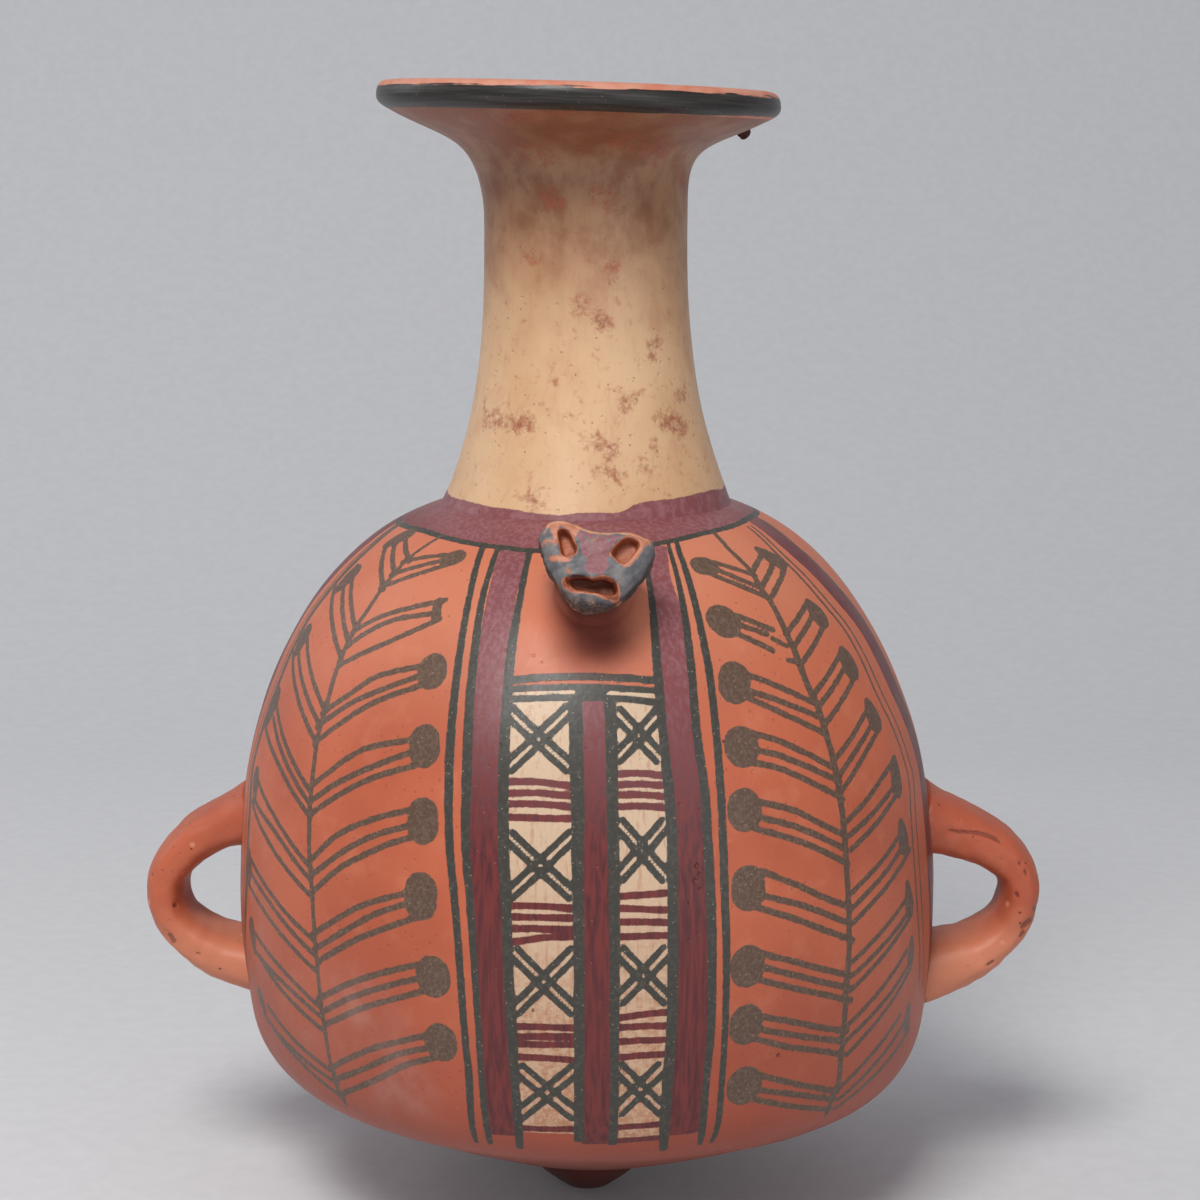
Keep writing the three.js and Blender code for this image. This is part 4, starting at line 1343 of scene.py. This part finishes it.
def stalk_piece():
    """A stalk whose clay is smeared out over the shoulder."""
    neck = (STALK_RADIUS, STALK_LENGTH * 0.66)
    spread = sweep((STALK_SPREAD, 0.03), 180, 0.55, neck, 84, 0.4, 34)
    rounded = sweep(spread[-1], 88, 0.5, (STALK_RADIUS - 4, STALK_LENGTH), 178, 0.5, 10)
    outline = [(0, -4), (STALK_SPREAD, -4), *joined(spread, rounded).tolist(), (0, STALK_LENGTH)]
    bm = turned(outline, 96, closed=False)
    piece = mesh_piece("lug_stalk_clay", bm, "lug_stalk")
    local = places_of(piece)
    flat = through(lug_frame, np.column_stack([local[:, 0], local[:, 1], np.zeros(len(local))]))
    seated = fall_on_wall(flat)
    on_shoulder = seated + local[:, 2:3] * np.array(lug_frame.to_3x3().col[2])
    free = through(lug_frame, local)
    blend = smoothstep(0.75 * STALK_LENGTH, 0, local[:, 2])
    places = free + blend[:, None] * (on_shoulder - free)
    move_to(piece, places)
    worked = 0.12 * waves(places, 51, 9) * smoothstep(0.5, 4, local[:, 2])
    move_to(piece, swollen(piece, places, worked))
    by_hand(piece)
    paint(piece)
    piece.data.materials.append(wall_paint)


stalk_piece()


# The feline's face, in pixels of the photograph: its outline half way through the slab, its two
# eyes, its mouth, and the dark red of its forehead and nose
FACE_PIXELS = [
    (539, 541), (543, 530), (552, 524), (571, 525), (589, 533.5), (606, 535), (628, 535.5),
    (648, 541), (655, 550), (651, 566), (638, 586), (622, 601), (597, 611), (577, 609), (564, 595),
    (553, 579), (542, 558)
]
LEFT_EYE = [
    (557.5, 532), (562, 528), (569, 532), (574.5, 542), (577.5, 551), (574, 556), (567.5, 558),
    (561.5, 555.5), (559, 546)
]
RIGHT_EYE = [
    (610.5, 553.5), (617.5, 543.5), (627, 537), (636, 538.5), (640.5, 544), (638.5, 551),
    (633, 558), (628, 563.5), (623.5, 566), (616, 560.5)
]
MOUTH = [
    (562.5, 580), (568, 576.5), (577, 576), (585.5, 577), (592.5, 579), (601.5, 577),
    (610.5, 578.5), (617.5, 585), (619, 594), (615.5, 598), (606, 597.5), (596, 594.5),
    (583.5, 593.5), (572.5, 591), (565, 586)
]
FOREHEAD = [
    (578, 533), (600, 536), (622, 537), (616, 542), (609, 552), (607, 561), (609, 567), (602, 575),
    (589, 575), (584, 570), (587, 562), (581, 552), (581, 544), (577, 538)
]
# Worn places: over the left eye, beside the right eye, under the left eye and at its temple
WORN = [
    [(541, 520), (580, 523), (579, 533), (575, 538), (569, 530), (561, 527), (557, 531), (558, 541),
     (553, 540), (550, 529)],
    [(624, 530), (652, 536), (650, 544), (643, 549), (637, 559), (629, 567), (622, 569), (630, 560),
     (640, 548), (636, 539)],
    [(549, 557.5), (557, 555), (566, 560), (573, 559), (572, 561), (564, 562), (551, 560.5)],
    [(541, 541), (549, 538), (556, 542), (556, 546), (550, 542.5), (543, 544)],
]

# How far the slab draws in towards its back and front: depth and scale
HEAD_SECTION = [
    (0, 0.86), (0.8, 0.95), (2.5, 1), (5, 1), (6.8, 0.97), (8, 0.9), (8.7, 0.8), (9, 0.68)
]


def on_face(pixels, depth):
    """Where pixels fall on a plane along the face, in the face's own frame."""
    turn = np.array(face_frame.inverted())
    start = turn[:3, :3] @ CAMERA_AT + turn[:3, 3]
    found = []
    for pixel in pixels:
        ray = turn[:3, :3] @ sight(*pixel)
        found.append((start + ray * (depth - start[2]) / ray[2])[:2])
    return np.array(found)


def beyond(loop, places):
    """How far places lie outside a closed loop, less than nothing for those inside."""
    gap = np.full(len(places), np.inf)
    inside = np.zeros(len(places), bool)
    for a, b in zip(loop, np.roll(loop, -1, axis=0)):
        along = b - a
        share = np.clip((places - a) @ along / (along @ along + 1e-9), 0, 1)
        gap = np.minimum(gap, np.linalg.norm(places - a - share[:, None] * along, axis=1))
        level = (a[1] > places[:, 1]) != (b[1] > places[:, 1])
        rise = along[1] if along[1] else 1e-9
        inside ^= level & (places[:, 0] < a[0] + (places[:, 1] - a[1]) * along[0] / rise)
    return np.where(inside, -gap, gap)


face_top = HEAD_BACK + HEAD_THICKNESS
slot_level = face_top - SLOT_RIM
face_loop = smooth_line(on_face(FACE_PIXELS, HEAD_BACK + HEAD_THICKNESS / 2), 0.9, True)
slot_loops = [smooth_line(on_face(pixels, slot_level), 0.5, True)
              for pixels in (LEFT_EYE, RIGHT_EYE, MOUTH)]


def middle_of(loop):
    return Vector((*loop.mean(axis=0), 0))


def about(frame, loop, shift, scale):
    """Scales about the middle of a loop, then shifts, then carries into a frame."""
    middle = middle_of(loop)
    moved = frame @ Matrix.Translation(middle + shift)
    return moved @ Matrix.Diagonal(scale) @ Matrix.Translation(-middle)


def slot_cutter(loop, depth, lean):
    """A gouge that narrows and slides up or down on its way in."""
    bm = bmesh.new()
    ring = [bm.verts.new((x, y, face_top + 1)) for x, y in loop]
    face = bm.faces.new(ring)
    made = bmesh.ops.extrude_face_region(bm, geom=[face])["geom"]
    narrowed = about(Matrix(), loop, Vector((0, lean, -depth - 1)), (0.78, 0.72, 1, 1))
    bmesh.ops.transform(bm, matrix=narrowed, verts=only(BMVert, made))
    bmesh.ops.recalc_face_normals(bm, faces=bm.faces)
    bmesh.ops.transform(bm, matrix=face_frame, verts=bm.verts)
    bmesh.ops.scale(bm, vec=(MM, MM, MM), verts=bm.verts)
    return object_of("slot_cutter", bm)


def skin_over(piece):
    """A fine even skin over whatever the piece has become."""
    skin = piece.modifiers.new("skin", "REMESH")
    skin.mode = "VOXEL"
    skin.voxel_size = SKIN_CELL * MM


def head_piece():
    bm = bmesh.new()
    ring = [bm.verts.new((x, y, 0)) for x, y in face_loop]
    for pair in zip(ring, ring[1:] + ring[:1]):
        bm.edges.new(pair)
    loft_along(bm, [
        about(face_frame, face_loop, Vector((0, 0, HEAD_BACK + depth)), (scale, scale, 1, 1))
        for depth, scale in HEAD_SECTION])
    piece = mesh_piece("lug_head_clay", bm, "lug_head", sharp=None)
    gouges = ((EYE_DEPTH, EYE_LEAN), (EYE_DEPTH, EYE_LEAN), (MOUTH_DEPTH, MOUTH_LEAN))
    cutters = [slot_cutter(loop, *gouge) for loop, gouge in zip(slot_loops, gouges)]
    skin_over(piece)
    for cutter in cutters:
        cut = piece.modifiers.new("slot", "BOOLEAN")
        cut.operation = "DIFFERENCE"
        cut.solver = "MANIFOLD"
        cut.object = cutter
    skin_over(piece)
    seen = piece.evaluated_get(bpy.context.evaluated_depsgraph_get())
    ready = bpy.data.meshes.new_from_object(seen)
    piece.modifiers.clear()
    for cutter in cutters:
        bpy.data.objects.remove(cutter)
    bm = bmesh.new()
    bm.from_mesh(ready)
    for _ in range(3):
        bmesh.ops.smooth_vert(bm, verts=bm.verts, factor=0.5, use_axis_x=True, use_axis_y=True,
                              use_axis_z=True)
    bm.to_mesh(piece.data)
    bm.free()
    piece.data.shade_smooth()
    places = places_of(piece)
    uneven = 0.26 * waves(places, 31, 7) + 0.16 * waves(places, 33, 2.4)
    places = swollen(piece, places, uneven)
    move_to(piece, places)
    face = through(face_frame.inverted(), places)
    flat = face[:, :2]

    def off(loops):
        return np.minimum.reduce([beyond(loop, flat) for loop in loops])

    keep(piece, "face_up", flat[:, 1] - middle_of(face_loop)[1])
    keep(piece, "face_out", face[:, 2] - HEAD_BACK)
    keep(piece, "slot", off(slot_loops))
    keep(piece, "forehead", off([on_face(FOREHEAD, slot_level)]))
    keep(piece, "worn", off([on_face(pixels, slot_level) for pixels in WORN]))
    keep(piece, "rim", np.abs(off([face_loop]) + 1.2))
    piece.data.materials.append(head_finish())


head_piece()


def ear_piece():
    """A worn nub under the lip."""
    flare = jar_outline[-FLARE_STEPS:]
    seat = float(np.interp(NUB_SEAT_RADIUS, flare[:, 0], flare[:, 1]))
    bm = bmesh.new()
    bmesh.ops.create_uvsphere(bm, u_segments=28, v_segments=18, radius=NUB_RADIUS)
    bmesh.ops.scale(bm, vec=(1, 0.95, 1.35), verts=bm.verts)
    spot = Matrix.Rotation(math.radians(NUB_TURN), 4, "Z") @ Matrix.Translation(
        (NUB_SEAT_RADIUS, 0, seat - NUB_SINK))
    bmesh.ops.transform(bm, matrix=spot, verts=bm.verts)
    piece = mesh_piece("lip_ear_clay", bm, "lip_ear", sharp=None)
    places = places_of(piece)
    move_to(piece, slanted(swollen(piece, places, 0.3 * waves(places, 41, 2))))
    finish = Finish("worn_nub")
    fine = finish.grain(0.6, shift=2, detail=4, rough=0.7)
    # Painted shade: the nub's clay in the dark brown it shows in shade under the lip
    tone = finish.lay(NUB_SHADE_BROWN, (finish.step(fine, 0.4, 0.65), NUB_BLACK))
    piece.data.materials.append(finish.done(tone, 0.85 + 0.1 * (fine - 0.5), 0.3 * fine))


ear_piece()

# The stage, in metres: a pale floor that bends up into a wall, a broad soft lamp from the upper
# left, a weaker one from the right and one from behind on the left
STAGE_HALF_WIDTH = 3
STAGE_FRONT = -2
STAGE_BACK = 1.4
STAGE_HEIGHT = 2.6
STAGE_BEND = 0.9


def backdrop():
    bm = bmesh.new()
    edge = bm.edges.new([bm.verts.new((across, STAGE_FRONT, 0))
                         for across in (-STAGE_HALF_WIDTH, STAGE_HALF_WIDTH)])
    floor, wall = (0, STAGE_BACK - STAGE_FRONT, 0), (0, 0, STAGE_HEIGHT)
    corner = []
    for shift in (floor, wall):
        made = bmesh.ops.extrude_edge_only(bm, edges=[edge])["geom"]
        edge = only(BMEdge, made)[0]
        bmesh.ops.translate(bm, vec=shift, verts=only(BMVert, made))
        corner.append(edge)
    bmesh.ops.bevel(bm, geom=corner[:1], offset=STAGE_BEND, affect="EDGES", segments=24,
                    profile=0.5, material=-1)
    bmesh.ops.recalc_face_normals(bm, faces=bm.faces)
    sheet = object_of("backdrop", bm)
    finish = Finish("pale_backdrop")
    fine = finish.grain(6, shift=2)
    tone = finish.lay(BACKDROP, (finish.step(fine, 0.3, 0.7), BACKDROP_DEEP))
    sheet.data.materials.append(finish.done(tone, 0.8 + 0.05 * (fine - 0.5), 0.02 * fine))


backdrop()


def lamp(name, place, towards, size, power, warmth):
    light = bpy.data.lights.new(name, "AREA")
    light.shape = "RECTANGLE"
    light.size, light.size_y = size
    light.energy = power
    light.color = warmth
    holder = bpy.data.objects.new(name, light)
    holder.location = place
    aim = Vector(towards) - Vector(place)
    holder.rotation_euler = aim.to_track_quat("-Z", "Y").to_euler()
    bpy.context.scene.collection.objects.link(holder)


lamp("soft_key", (-0.3, -0.95, 1.3), (0, 0, 0.16), (0.6, 0.5), 18.5, (1, 0.985, 0.96))
lamp("soft_fill", (0.9, -1.3, 0.45), (0, 0, 0.12), (0.9, 0.9), 3.5, (0.97, 0.98, 1))
lamp("window", (-1.2, 0.45, 0.8), (0, 0, 0.14), (0.7, 0.9), 3, (0.95, 0.97, 1))
world = bpy.data.worlds.new("room")
world.use_nodes = True
room_light = world.node_tree.nodes["Background"].inputs
room_light["Color"].default_value = (0.9, 0.93, 1, 1)
room_light["Strength"].default_value = 0.34
bpy.context.scene.world = world
bpy.context.scene.view_settings.view_transform = "Standard"

camera = bpy.data.cameras.new("photo_eye")
camera.sensor_width = SENSOR
camera.lens = SENSOR * FOCAL_PIXELS / PHOTO_SIDE
camera.clip_start = 0.02
camera_holder = bpy.data.objects.new("photo_eye", camera)
camera_holder.location = CAMERA_AT * MM
camera_holder.rotation_euler = (math.radians(90 - CAMERA_PITCH), 0, 0)
bpy.context.scene.collection.objects.link(camera_holder)
bpy.context.scene.camera = camera_holder
